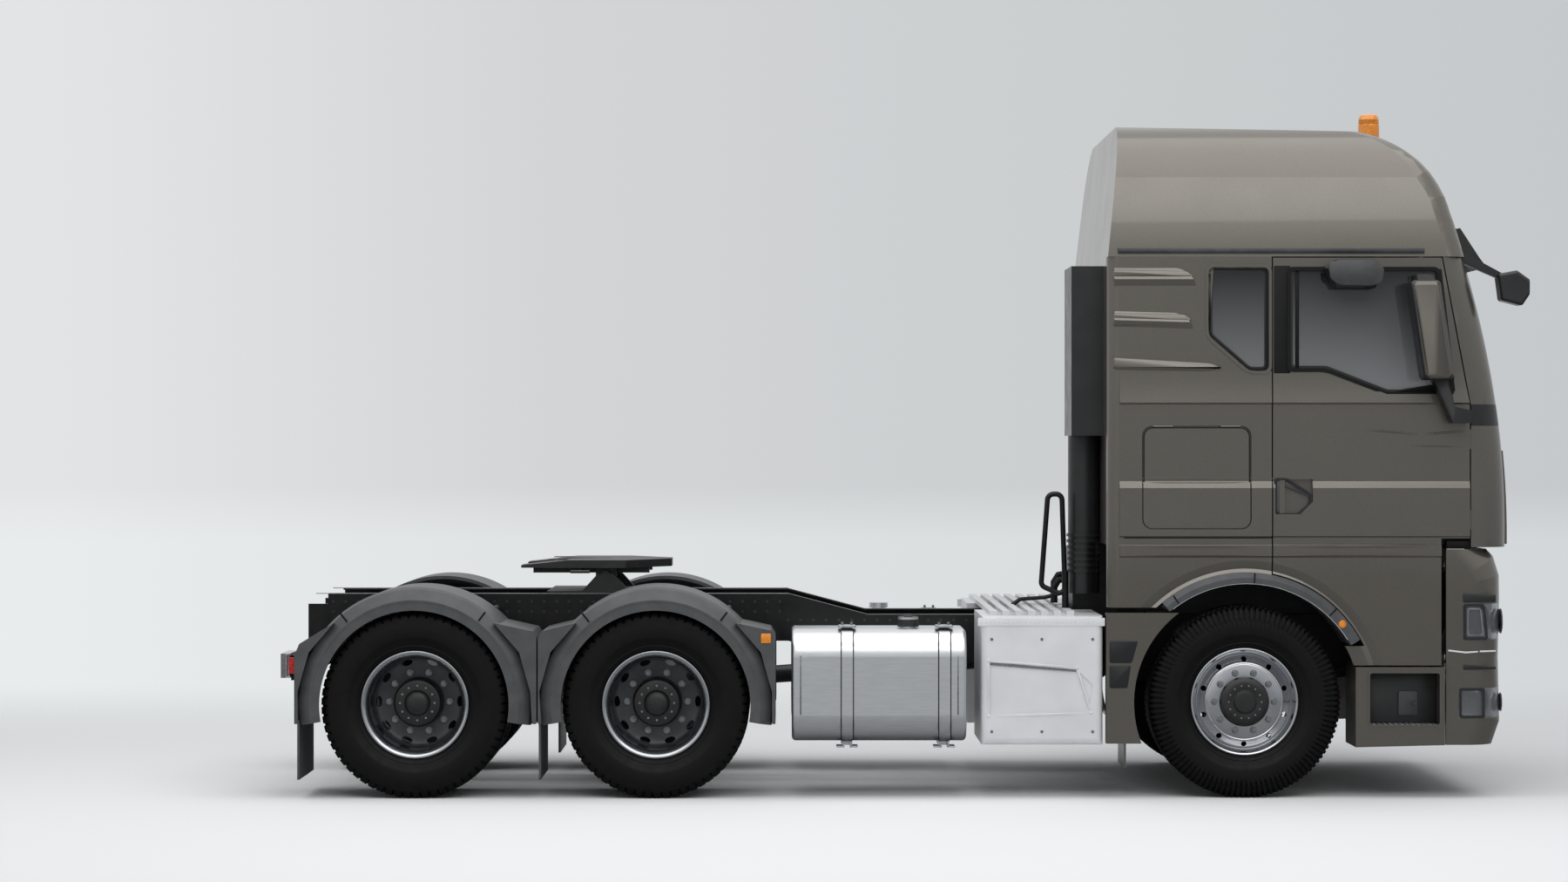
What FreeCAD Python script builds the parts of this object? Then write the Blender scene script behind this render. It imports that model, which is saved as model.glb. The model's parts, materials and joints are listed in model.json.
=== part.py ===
# Cab-over tractor unit with three axles, as an assembly of named sub-parts.
# Frame while modelling: X forward from the front axle, Y to the left, Z up from the ground, millimetres.
# Every sub-part then moves along X so that the origin lies midway between nose and tail.
import FreeCAD, Part
import math
import os
import Sketcher

doc = FreeCAD.newDocument("Tractor")
sheet = doc.addObject("Spreadsheet::Sheet", "Sizes")

SIZES = {
    # Axles, tyres and wheels
    "wheelbase": 3300,
    "bogie_spacing": 1350,
    "front_tyre_radius": 538,
    "rear_tyre_radius": 524,
    "tyre_half_width": 157,
    "tread_half_width": 128,
    "bead_radius": 286,
    "bead_half_width": 115,
    "bead_height": 22,
    "sidewall_radius": 415,
    "sidewall_bow": 170,
    "shoulder_drop": 28,
    "shoulder_step": 12,
    "rim_flange": 13,
    "rim_flange_rise": 17,
    "rim_wall": 15,
    "rim_clearance": 0.3,
    "disc_wall": 14,
    "front_track_half": 1040,
    "twin_offset": 172.5,
    "twin_track_half": 907.5,
    "nut_circle": 167.5,
    "nut_radius": 16,
    "nut_height": 30,
    "vent_circle": 233,
    "vent_radius": 15,
    "vent_count": 10,
    "hub_radius": 135,
    "front_disc_face": 112,
    "front_hub_face": 150,
    "front_hub_back": 20,
    "rear_hub_face": 165,
    "rear_hub_back": 190,
    "hub_cap_radius": 62,
    "hub_cap_height": 18,
    "front_spindle_radius": 40,
    "rear_spindle_radius": 55,
    "spindle_gap": 3,
    "brake_radius": 205,
    "brake_disc_wall": 34,
    "brake_drum_back": 240,
    # Steering
    "kingpin_half": 920,
    "kingpin_radius": 22,
    "kingpin_boss_radius": 58,
    "kingpin_boss_half": 75,
    "fork_lug": 46,
    "fork_gap": 3,
    "fork_half": 55,
    "fork_web": 24,
    "fork_web_gap": 6,
    "steering_arm": 170,
    "steering_arm_plate": 24,
    "ball_radius": 12,
    "rod_eye_radius": 28,
    "rod_eye_height": 26,
    "rod_radius": 18,
    "running_clearance": 0.3,
    # Frame
    "rail_rear": -5230,
    "rail_front": 1180,
    "rail_rear_top": 1115,
    "rail_front_top": 993,
    "rail_depth": 275,
    "rail_slope_rear": -2559,
    "rail_slope_front": -2097,
    "rail_outer": 420,
    "rail_flange": 85,
    "rail_web": 9,
    "crossmember_length": 120,
    "crossmember_depth": 170,
    "crossmember_wall": 10,
    "tail_crossmember": -5160,
    "bogie_crossmember": -3975,
    "mid_crossmember": -2850,
    "waist_crossmember": -1650,
    "front_crossmember": 1090,
    "cab_post": -640,
    "cab_post_length": 70,
    "cab_rest_gap": 1,
    # Engine block, axle beam and springs
    "engine_rear": -900,
    "engine_front": 850,
    "engine_half": 325,
    "engine_bottom": 630,
    "engine_top": 1370,
    "engine_foot": 140,
    "engine_foot_height": 22,
    "beam_half_depth": 48,
    "beam_bottom": 395,
    "beam_height": 110,
    "beam_seat_half": 330,
    "beam_drop_half": 560,
    "spring_half_length": 760,
    "spring_width": 75,
    "spring_leaf": 48,
    "spring_eye": 38,
    "hanger_length": 70,
    "axle_tube_radius": 72,
    "axle_bowl_radius": 205,
    "axle_bowl_width": 250,
    "axle_tube_half": 560,
    "pinion_rise": 70,
    "pinion_radius": 78,
    "pinion_length": 70,
    "prop_radius": 52,
    "joint_radius": 80,
    "joint_length": 60,
    "gearbox_outlet": 740,
    "chamber_x": 175,
    "chamber_y": 330,
    "chamber_radius": 82,
    "chamber_length": 170,
    "chamber_bracket": 50,
    "bogie_spring_rise": 70,
    "bogie_bracket_length": 260,
    # Cab
    "cab_rear": -775,
    "cab_half": 1220,
    "cab_wall": 60,
    "cab_corner": 170,
    "cab_rear_corner": 70,
    "cab_sill": 1406,
    "cab_nose": 1478,
    "cab_belt": 2000,
    "cab_belt_front": 1455,
    "cab_split": 3032,
    "cab_split_front": 1241,
    "nose_bow": 5200,
    "screen_bow": 5600,
    "screen_lean": 0.27,
    "skirt_bottom": 1068,
    "floor_bottom": 1420,
    "floor_top": 1500,
    "floor_inset": 10,
    "panel_gap": 7,
    "hinge_radius": 5,
    "hinge_length": 110,
    "hinge_inset": 2,
    "door_hinge_low": 1560,
    "door_hinge_high": 2010,
    "hatch_hinge_offset": 190,
    # Swages pressed into the cab's sides
    "swage_root": 15,
    "swage_run_out": 25,
    "belt_line": 2214,
    "belt_flare_top": 2390,
    "belt_flare_bow": 1500,
    "belt_depth": 12,
    "waist_line": 1775,
    "waist_drop": 38,
    "waist_depth": 9,
    "waist_low": 1460,
    "sill_swage_top": 1425,
    "sill_swage_low": 1348,
    "sill_swage_depth": 9,
    "swage_edge": 9,
    "rib_rear": -735,
    "rib_depth": 13,
    "rib_bow": 130,
    "cove_outer": 794,
    "cove_deep": 748,
    "cove_depth": 11,
    # Roof
    "roof_wall": 50,
    "roof_rise": 758,
    "roof_rear_lean": 85,
    "roof_front_drop": 33,
    "roof_front_start": 680,
    "roof_brow": 1140,
    "roof_brow_drop": 387,
    "roof_brow_bow": 640,
    "roof_shoulder_half": 1150,
    "roof_shoulder_rise": 448,
    "roof_flat_half": 760,
    "roof_side_bow": 3000,
    "roof_shoulder_bow": 460,
    "roof_corner": 110,
    # Doors
    "door_rear": 153,
    "door_front": 1254,
    "door_belt": 2200,
    "door_top_front": 1098,
    "door_main_bottom": 1455,
    "door_skirt_front": 1095,
    "door_bottom": 745,
    "window_rear": 240,
    "window_top_margin": 67,
    "window_bottom_rear": 2395,
    "window_dip_start": 450,
    "window_dip_end": 790,
    "window_bottom": 2262,
    "window_front": 1165,
    "window_top_front": 1078,
    "glass_wall": 6,
    "glass_inset": 12,
    "seal_clearance": 0.3,
    "handle_front": 375,
    "handle_bottom": 1591,
    "handle_top": 1786,
    "handle_taper": 70,
    "handle_edge": 12,
    "handle_depth": 34,
    "handle_bar": 30,
    "handle_grip": 22,
    # Quarter window and hatch
    "quarter_rear": -180,
    "quarter_rear_low": -205,
    "quarter_top_margin": 64,
    "quarter_knee": 2590,
    "quarter_bottom": 2395,
    "quarter_bottom_rear": 20,
    "quarter_front": 125,
    "hatch_rear": -573,
    "hatch_front": 25,
    "hatch_bottom": 1513,
    "hatch_top": 2078,
    "hatch_corner": 50,
    "hatch_wall": 30,
    # Windscreen, cowl and flap
    "screen_half": 1035,
    "screen_bottom": 2225,
    "screen_top_margin": 57,
    "cowl_bottom": 2085,
    "cowl_top": 2205,
    "flap_half": 1060,
    "flap_bottom": 1420,
    "flap_top": 1946,
    "flap_wall": 28,
    "flap_proud": 14,
    "flap_hinge": 8,
    "flap_hinge_length": 120,
    "flap_hinge_y": 700,
    # Front wheel arch
    "arch_outer": 728,
    "arch_inner": 667,
    "arch_liner": 14,
    "arch_half": 1268,
    "arch_skin": 1192,
    "arch_liner_inner": 870,
    "arch_front_angle": 29,
    "arch_sweep": 101,
    "door_arch_gap": 8,
    "door_heel_radius": 640,
    # Cab tilt pivot
    "tilt_x": 1385,
    "tilt_z": 1335,
    "tilt_pin": 20,
    "tilt_boss": 34,
    "tilt_bracket_inner": 430,
    "tilt_bracket_outer": 456,
    "tilt_arm_outer": 496,
    "tilt_arm_half": 24,
    # Bumper
    "bumper_rear": 1122,
    "bumper_front": 1447,
    "bumper_half": 1220,
    "bumper_bottom": 300,
    "bumper_top": 1394,
    "bumper_wall": 40,
    "bumper_corner": 165,
    "bumper_notch_half": 560,
    "bumper_notch_bottom": 1240,
    "bumper_arm_top": 930,
    "bumper_arm_bottom": 760,
    "head_lamp_rear": 1215,
    "head_lamp_inner": 830,
    "head_lamp_bottom": 886,
    "head_lamp_top": 1090,
    "fog_lamp_rear": 1190,
    "fog_lamp_inner": 930,
    "fog_lamp_bottom": 448,
    "fog_lamp_top": 618,
    "grille_half": 740,
    "grille_bottom": 560,
    "grille_top": 860,
    "grille_bars": 5,
    "grille_bar": 22,
    # Steps
    "step_rear": 614,
    "step_front": 1112,
    "step_half": 1235,
    "step_inner": 850,
    "step_bottom": 288,
    "step_top": 736,
    "step_wall": 30,
    "step_recess_rear": 689,
    "step_recess_bottom": 411,
    "step_recess_top": 706,
    "upper_step": 1060,
    "upper_step_inner": 900,
    "upper_step_outer": 1145,
    # Rear fenders
    "fender_radius": 658,
    "fender_wall": 20,
    "fender_inner": 585,
    "fender_half": 1272,
    "fender_shoulder": 1185,
    "fender_lip_radius": 530,
    "fender_lip": 20,
    "fender_leg": 10,
    "flap_sheet": 12,
    "mud_flap_bottom": 107,
    "mud_flap_top": 440,
    "stay_radius": 14,
    "stay_angle": 52,
    # Tail
    "tail_bar_rear": -5345,
    "tail_bar_front": -5312,
    "tail_bar_half": 1190,
    "tail_bar_bottom": 660,
    "tail_bar_top": 800,
    "tail_bracket": 34,
    "tail_lamp_depth": 51,
    "tail_lamp_inner": 900,
    "tail_lamp_outer": 1240,
    "tail_lamp_bottom": 676,
    "tail_lamp_top": 812,
    # Tank, silencer box and battery box
    "tank_rear": -2539,
    "tank_front": -1561,
    "tank_bottom": 316,
    "tank_top": 944,
    "tank_inner": 560,
    "tank_outer": 1240,
    "tank_corner": 150,
    "tank_edge": 22,
    "tank_strap": 62,
    "tank_strap_rear": -2260,
    "tank_strap_front": -1715,
    "strap_wall": 6,
    "tank_cap": -1880,
    "left_tank_cap": -2000,
    "tank_cap_radius": 58,
    "tank_cap_height": 60,
    "tank_cap_offset": 130,
    "bracket_top": 900,
    "bracket_foot": 290,
    "box_rear": -1478,
    "box_front": -800,
    "box_bottom": 302,
    "box_top": 1022,
    "box_outer": 1245,
    "box_corner": 40,
    "panel_rear": -1445,
    "panel_front": -856,
    "panel_bottom": 472,
    "panel_top": 779,
    "panel_taper": 72,
    "panel_depth": 6,
    "slat_count": 7,
    "slat_first": -1430,
    "slat_pitch": 72,
    "slat_width": 42,
    "slat_height": 26,
    "slat_half": 1180,
    "loop_slat": 6,
    "loop_y": 780,
    "loop_top": 1697,
    "loop_low_rear": 1174,
    "loop_low_front": 1114,
    "loop_width_top": 80,
    "loop_width_low": 138,
    "loop_lean": 19,
    "loop_bend": 35,
    "loop_radius": 15,
    "loop_post_radius": 19,
    "loop_post_top": 1260,
    "loop_foot_radius": 21,
    "loop_foot": 6,
    # Front wheel guard behind the arch
    "guard_rear": -783,
    "guard_skin": 1190,
    "guard_half": 1255,
    "guard_bottom": 310,
    "guard_top": 1040,
    "guard_radius": 628,
    "guard_liner": 14,
    "guard_liner_inner": 860,
    # Fifth wheel
    "coupling_x": -3620,
    "coupling_top": 1309,
    "coupling_plate": 45,
    "coupling_half": 455,
    "coupling_front": -3244,
    "coupling_ramp": -3830,
    "coupling_tail": -4110,
    "coupling_tail_top": 1278,
    "coupling_mouth_half": 190,
    "kingpin_bore": 25.6,
    "jaw_radius": 85,
    "coupling_pivot": 1222,
    "coupling_pin": 25,
    "coupling_ear_inner": 300,
    "coupling_ear_outer": 345,
    "coupling_post_outer": 395,
    "coupling_ear_half": 60,
    "pull_offset": 140,
    "pull_end": 560,
    "pull_radius": 9,
    "pull_grip": 110,
    "sub_plate": 14,
    "sub_plate_rear": -3960,
    "sub_plate_front": -3280,
    # Mirrors
    "mirror_inner": 1300,
    "mirror_outer": 1500,
    "mirror_top_rear": 873,
    "mirror_top_front": 1047,
    "mirror_bottom_rear": 954,
    "mirror_bottom_front": 1127,
    "mirror_top": 2890,
    "mirror_bottom": 2337,
    "mirror_edge": 32,
    "mirror_foot_bottom": 2100,
    "mirror_foot_front": 1240,
    "mirror_arm_height": 46,
    "ramp_rear": 434,
    "ramp_front": 755,
    "ramp_height": 160,
    "ramp_drop": 22,
    "ramp_outer": 1385,
    "ramp_edge": 40,
    "front_mirror_y": 1060,
    "front_mirror_half": 70,
    "front_mirror_tip": 1608,
    "front_mirror_rear": 1430,
    "front_mirror_bottom": 2760,
    "front_mirror_top": 2960,
    "front_mirror_arm": 40,
    # Sun visor and beacon
    "visor_half": 1000,
    "visor_rise": 168,
    "visor_drop": 57,
    "visor_rear": 1225,
    "visor_front": 1372,
    "visor_wall": 14,
    "beacon_x": 790,
    "beacon_y": 560,
    "beacon_base": 78,
    "beacon_radius": 62,
    "beacon_foot_depth": 80,
    "beacon_base_rise": 48,
    "beacon_dome_height": 80,
    # Cab interior
    "seat_y": 620,
    "seat_half": 250,
    "seat_rear": 130,
    "seat_front": 650,
    "seat_base_top": 1820,
    "seat_top": 1960,
    "seat_back_top": 2760,
    "seat_back_wall": 130,
    "bunk_front": -120,
    "bunk_bottom": 2100,
    "bunk_deck": 2140,
    "bunk_top": 2260,
    "bunk_half": 1140,
    "bunk_leg": 60,
    "dash_rear": 1010,
    "dash_bottom": 1900,
    "dash_top": 2190,
    "dash_lip": 90,
    "dash_half": 1090,
    "dash_post_half": 180,
    "steering_wheel_x": 850,
    "steering_wheel_y": 620,
    "steering_wheel_z": 2120,
    "steering_wheel_radius": 225,
    "steering_wheel_rim": 15,
    # Air intake behind the cab
    "intake_rear": -955,
    "intake_half": 260,
    "intake_y": -700,
    "intake_bottom": 1130,
    "intake_top": 2990,
    "pleat_start": 120,
    "pleat_pitch": 34,
    "pleat_rise": 9,
    "pleat_count": 7,
}


# The three ribs behind the quarter window: height of the ridge, slope, reach above and below it, length and the
# length of the rounded end.
RIBS = [
    (2905, 0, 62, 37, 458, 110),
    (2676, 1.6, 50, 36, 443, 108),
    (2447, 3.1, 46, 38, 626, 122),
]


class Size:
    """A value together with the sheet expression that it comes from."""

    def __init__(self, value, text):
        self.value = float(value)
        self.text = text

    def joined(self, other, sign, value):
        text = other.text if isinstance(other, Size) else repr(float(other))
        return Size(value, f"({self.text} {sign} {text})")

    def __add__(self, other):
        return self.joined(other, "+", self.value + number(other))

    def __sub__(self, other):
        return self.joined(other, "-", self.value - number(other))

    def __mul__(self, other):
        return self.joined(other, "*", self.value * number(other))

    def __truediv__(self, other):
        return self.joined(other, "/", self.value / number(other))

    def __neg__(self):
        return Size(-self.value, f"(0 - {self.text})")

    def __radd__(self, other):
        return self + other

    def __rsub__(self, other):
        return -self + other

    def __rmul__(self, other):
        return self * other


class Sizes:
    """The driving dimensions, written to the sheet and read as attributes."""

    def __init__(self, table):
        for row, (alias, value) in enumerate(table.items(), start=1):
            sheet.set(f"A{row}", alias)
            sheet.set(f"B{row}", str(value))
            sheet.setAlias(f"B{row}", alias)
            setattr(self, alias, Size(value, f"Sizes.{alias}"))


def number(value):
    return value.value if isinstance(value, Size) else float(value)


def sine(angle):
    return Size(math.sin(math.radians(angle.value)), f"sin({angle.text} * 1deg)")


s = Sizes(SIZES)
doc.recompute()
NODES = {}
AXES = {"X": (FreeCAD.Vector(0, 1, 0), 90), "Y": (FreeCAD.Vector(1, 0, 0), -90), "Z": (FreeCAD.Vector(0, 0, 1), 0)}


def bind(thing, name, value):
    """Sets a property, as an expression where the value comes from the sheet."""
    if isinstance(value, Size):
        thing.setExpression(name, value.text)
    elif name.startswith("Placement.Base."):
        base = thing.Placement.Base
        setattr(base, name[-1], float(value))
        thing.Placement.Base = base
    else:
        setattr(thing, name, value)


def move(thing, x=0, y=0, z=0):
    for axis, value in (("x", x), ("y", y), ("z", z)):
        if isinstance(value, Size) or value:
            bind(thing, f"Placement.Base.{axis}", value)
    return thing


def box(x0, x1, y0, y1, z0, z1):
    item = doc.addObject("Part::Box", "Block")
    for name, low, high in (("Length", x0, x1), ("Width", y0, y1), ("Height", z0, z1)):
        bind(item, name, high - low if isinstance(high, Size) else -(low - high))
    return move(item, x0, y0, z0)


def rod(axis, x, y, z, radius, length):
    """A cylinder that starts at a point and runs along an axis."""
    item = doc.addObject("Part::Cylinder", "Round")
    bind(item, "Radius", radius)
    bind(item, "Height", length)
    item.Placement.Rotation = FreeCAD.Rotation(*AXES[axis])
    return move(item, x, y, z)


def fuse(*items):
    item = doc.addObject("Part::MultiFuse", "Joined")
    item.Shapes = list(items)
    return item


def group(*items):
    item = doc.addObject("Part::Compound", "Group")
    item.Links = list(items)
    return item


def cut(base, *tools):
    item = doc.addObject("Part::Cut", "Trimmed")
    item.Base = base
    item.Tool = tools[0] if len(tools) == 1 else fuse(*tools)
    return item


def common(base, tool):
    item = doc.addObject("Part::Common", "Shared")
    item.Base = base
    item.Tool = tool
    return item


def mirror(source):
    item = doc.addObject("Part::Mirroring", "Mirrored")
    item.Source = source
    item.Normal = FreeCAD.Vector(0, 1, 0)
    return item


def arc_middle(start, end, radius):
    """The middle of an arc between two points, to the left of the way there for a positive radius."""
    along = end - start
    span = along.Length
    sagitta = abs(radius) - math.sqrt(radius * radius - span * span / 4)
    side = FreeCAD.Vector(-along.y, along.x, 0) / span
    return (start + end) / 2 + side * math.copysign(sagitta, radius)


def draw(sketch, points):
    """A closed outline; a point with a third value starts an arc of that radius."""
    first = sketch.GeometryCount
    spots = [FreeCAD.Vector(number(point[0]), number(point[1]), 0) for point in points]
    ends = []
    for index, point in enumerate(points):
        start = spots[index]
        end = spots[(index + 1) % len(points)]
        clockwise = len(point) > 2 and number(point[2]) > 0
        ends.append((2, 1) if clockwise else (1, 2))
        if len(point) == 2:
            sketch.addGeometry(Part.LineSegment(start, end))
            continue
        middle = arc_middle(start, end, number(point[2]))
        if clockwise:
            start, end = end, start
        sketch.addGeometry(Part.Arc(start, middle, end))
    for index, point in enumerate(points):
        following = (index + 1) % len(points)
        join = ("Coincident", first + index, ends[index][1], first + following, ends[following][0])
        sketch.addConstraint(Sketcher.Constraint(*join))
        for kind, value in (("DistanceX", point[0]), ("DistanceY", point[1])):
            place = Sketcher.Constraint(kind, -1, 1, first + index, ends[index][0], number(value))
            tie(sketch, sketch.addConstraint(place), value)
        if len(point) > 2:
            bow = Size(abs(point[2].value), f"abs({point[2].text})")
            rounding = Sketcher.Constraint("Radius", first + index, bow.value)
            tie(sketch, sketch.addConstraint(rounding), bow)


def tie(sketch, constraint, value):
    if isinstance(value, Size):
        sketch.setExpression(f"Constraints[{constraint}]", value.text)


def body_with_sketch(role, outlines, circles=(), place=0):
    """A body with one sketch on an origin plane, moved along that plane's own axis."""
    body = doc.addObject("PartDesign::Body", "Solid")
    sketch = body.newObject("Sketcher::SketchObject", "Outline")
    plane = [item for item in body.Origin.OriginFeatures if item.Role == role][0]
    sketch.AttachmentSupport = [(plane, "")]
    sketch.MapMode = "FlatFace"
    if isinstance(place, Size):
        sketch.setExpression("AttachmentOffset.Base.z", place.text)
    for outline in outlines:
        draw(sketch, outline)
    for x, y, radius in circles:
        item = sketch.addGeometry(Part.Circle(FreeCAD.Vector(number(x), number(y), 0), FreeCAD.Vector(0, 0, 1),
                                              number(radius)))
        for kind, value in (("DistanceX", x), ("DistanceY", y)):
            spot = Sketcher.Constraint(kind, -1, 1, item, 3, number(value))
            tie(sketch, sketch.addConstraint(spot), value)
        tie(sketch, sketch.addConstraint(Sketcher.Constraint("Radius", item, number(radius))), radius)
    return body, sketch


def pad(role, outlines, start, end, circles=()):
    """A prism from start to end along Y for XZ outlines, X for YZ outlines or Z for XY outlines."""
    backwards = role == "XZ_Plane"
    place = -start if backwards else start
    body, sketch = body_with_sketch(role, outlines, circles, place)
    feature = body.newObject("PartDesign::Pad", "Prism")
    feature.Profile = sketch
    feature.Reversed = backwards
    bind(feature, "Length", end - start)
    return body


def side_pad(points, start, end, circles=()):
    return pad("XZ_Plane", [points], start, end, circles)


def plan_pad(points, start, end, circles=()):
    return pad("XY_Plane", [points], start, end, circles)


def front_pad(points, start, end, circles=()):
    return pad("YZ_Plane", [points], start, end, circles)


def turned(points, sweep=None):
    """A solid of revolution about the body's own Y axis; points are radius and place along Y."""
    body, sketch = body_with_sketch("XY_Plane", [points])
    feature = body.newObject("PartDesign::Revolution", "Turned")
    feature.Profile = sketch
    feature.ReferenceAxis = (sketch, ["V_Axis"])
    if sweep is None:
        feature.Angle = 360
    else:
        bind(feature, "Angle", sweep)
        feature.Reversed = True
    return body


def soften(body, radius, test):
    """Rounds those edges of a body's last feature that pass a test on points along them."""
    doc.recompute()
    last = body.Tip
    names = []
    for index, edge in enumerate(last.Shape.Edges, start=1):
        low, high = edge.ParameterRange
        spots = [edge.valueAt(low + (high - low) * share) for share in (0.05, 0.5, 0.95)]
        if all(test(spot) for spot in spots):
            names.append(f"Edge{index}")
    feature = body.newObject("PartDesign::Fillet", "Rounded")
    feature.Base = (last, names)
    bind(feature, "Radius", radius)
    return body


def around(body, count):
    """Repeats a body about its own Y axis, as one compound of turned copies."""
    copies = []
    for index in range(count):
        item = doc.addObject("Part::Compound", "Copy")
        item.Links = [body]
        item.Placement = FreeCAD.Placement(FreeCAD.Vector(), FreeCAD.Rotation(FreeCAD.Vector(0, 1, 0),
                                                                            360 * index / count))
        copies.append(item)
    return fuse(*copies)


def node(name, item):
    NODES[name] = item
    return item


def pair(name, item):
    """The same piece on the right-hand and left-hand side, as two sub-parts."""
    node(f"{name}_right", item)
    node(f"{name}_left", mirror(item))


def both(*items):
    """Pieces of the right-hand side with their mirror images, as one group."""
    return group(*items, *[mirror(item) for item in items])


# Wheels: the body's own Y axis is the axle, outboard is towards minus Y on the right-hand side.
def tyre(radius, offset=0):
    half = s.tyre_half_width
    shoulder = radius - s.shoulder_drop
    low = s.bead_radius + s.bead_height
    bulge = s.sidewall_radius
    bead = s.bead_half_width
    tread = s.tread_half_width
    bow = -s.sidewall_bow
    step = s.shoulder_step
    return turned([
        (s.bead_radius, bead + offset), (s.bead_radius, -bead + offset), (low, -bead + offset, bow),
        (bulge, -half + offset, bow), (shoulder, -half + offset + step), (radius, -tread + offset),
        (radius, tread + offset), (shoulder, half + offset - step, bow), (bulge, half + offset, bow),
        (low, bead + offset),
    ])


def rim(disc, offset=0):
    """The barrel with its flanges; disc lists the points that join it to the hub side."""
    outer = s.bead_radius - s.rim_clearance
    inner = outer - s.rim_wall
    lip = outer + s.rim_flange_rise
    near = s.bead_half_width + s.rim_clearance
    far = near + s.rim_flange
    return turned([
        (inner, -far + offset), (lip, -far + offset), (lip, -near + offset), (outer, -near + offset),
        (outer, near + offset), (lip, near + offset), (lip, far + offset), (inner, far + offset),
    ] + disc)


def ring_of(radius, place, circle, height):
    """Round pegs on a circle about the axle, starting at a place along it."""
    peg = rod("Y", circle, place, 0, radius, height)
    return around(peg, int(SIZES["vent_count"]))


def front_wheel():
    inner = s.bead_radius - s.rim_clearance - s.rim_wall
    face = -s.front_disc_face
    back = face + s.disc_wall
    barrel = rim([(inner, face + 62), (s.vent_circle, face + 34), (s.vent_circle - 38, back),
                  (s.hub_radius - 30, back), (s.hub_radius - 30, face), (s.vent_circle - 30, face),
                  (s.vent_circle + 14, face + 26), (inner, face + 44)])
    vents = ring_of(s.vent_radius, face - 10, s.vent_circle, s.disc_wall + 80)
    nuts = ring_of(s.nut_radius, face - s.nut_height, s.nut_circle, s.nut_height + 2)
    hole = s.front_spindle_radius + s.running_clearance
    hub = turned([
        (hole, s.front_hub_back), (s.hub_radius - 20, s.front_hub_back), (s.hub_radius, face + s.disc_wall),
        (s.hub_radius, -s.front_hub_face), (s.hub_cap_radius, -s.front_hub_face),
        (s.hub_cap_radius, -s.front_hub_face - s.hub_cap_height), (0, -s.front_hub_face - s.hub_cap_height),
        (0, -s.front_hub_face + 20), (hole, -s.front_hub_face + 20),
    ])
    brake = turned([
        (s.hub_radius - 22, s.front_hub_back), (s.brake_radius, s.front_hub_back),
        (s.brake_radius, s.front_hub_back - s.brake_disc_wall),
        (s.hub_radius - 22, s.front_hub_back - s.brake_disc_wall),
    ])
    return fuse(cut(barrel, vents), nuts, hub, brake)


def rear_wheel():
    inner = s.bead_radius - s.rim_clearance - s.rim_wall
    out = -s.twin_offset
    edge = s.bead_half_width + s.rim_flange
    outer = rim([(inner, -s.disc_wall - 46), (s.vent_circle + 18, -2.5), (s.hub_radius - 30, -2.5),
                 (s.hub_radius - 30, -s.disc_wall - 2), (s.vent_circle + 6, -s.disc_wall - 2),
                 (inner, out + edge - 24)], out)
    hole = s.rear_spindle_radius + s.running_clearance
    hub = turned([
        (hole, s.rear_hub_back), (s.hub_radius, s.rear_hub_back), (s.hub_radius, -s.rear_hub_face + 30),
        (s.hub_radius - 18, -s.rear_hub_face), (s.hub_cap_radius, -s.rear_hub_face),
        (s.hub_cap_radius, -s.rear_hub_face - s.hub_cap_height), (0, -s.rear_hub_face - s.hub_cap_height),
        (0, -s.rear_hub_face + 20), (hole, -s.rear_hub_face + 20),
    ])
    drum = turned([
        (s.hub_radius - 10, s.rear_hub_back), (s.brake_radius, s.rear_hub_back - 20),
        (s.brake_radius, s.brake_drum_back), (s.brake_radius - 16, s.brake_drum_back),
        (s.brake_radius - 16, s.rear_hub_back), (s.hub_radius - 10, s.rear_hub_back + 14),
    ])
    vents = ring_of(s.vent_radius + 4, -s.disc_wall - 20, s.vent_circle - 6, s.disc_wall * 2 + 40)
    nuts = ring_of(s.nut_radius, -s.disc_wall - s.nut_height, s.nut_circle, s.nut_height + 2)
    other = mirror(outer)
    return fuse(cut(fuse(outer, other), vents), nuts, hub, drum)


rear_axles = {"front": -s.wheelbase, "rear": -s.wheelbase - s.bogie_spacing}

front_rim = front_wheel()
move(front_rim, 0, -s.front_track_half, s.front_tyre_radius)
pair("front_rim", front_rim)
front_tyre = tyre(s.front_tyre_radius)
move(front_tyre, 0, -s.front_track_half, s.front_tyre_radius)
pair("front_tyre", front_tyre)
for place, axle in rear_axles.items():
    rims = rear_wheel()
    move(rims, axle, -s.twin_track_half, s.rear_tyre_radius)
    pair(f"{place}_drive_rims", rims)
    tyres = group(tyre(s.rear_tyre_radius, -s.twin_offset), tyre(s.rear_tyre_radius, s.twin_offset))
    move(tyres, axle, -s.twin_track_half, s.rear_tyre_radius)
    pair(f"{place}_drive_tyres", tyres)

# Steering knuckles: a fork round the axle beam's end, a spindle outboard and an arm that points to the rear.
hub_z = s.front_tyre_radius
pin_top = s.kingpin_boss_half + s.fork_gap
boss_clear = s.kingpin_boss_radius + s.fork_web_gap


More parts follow.
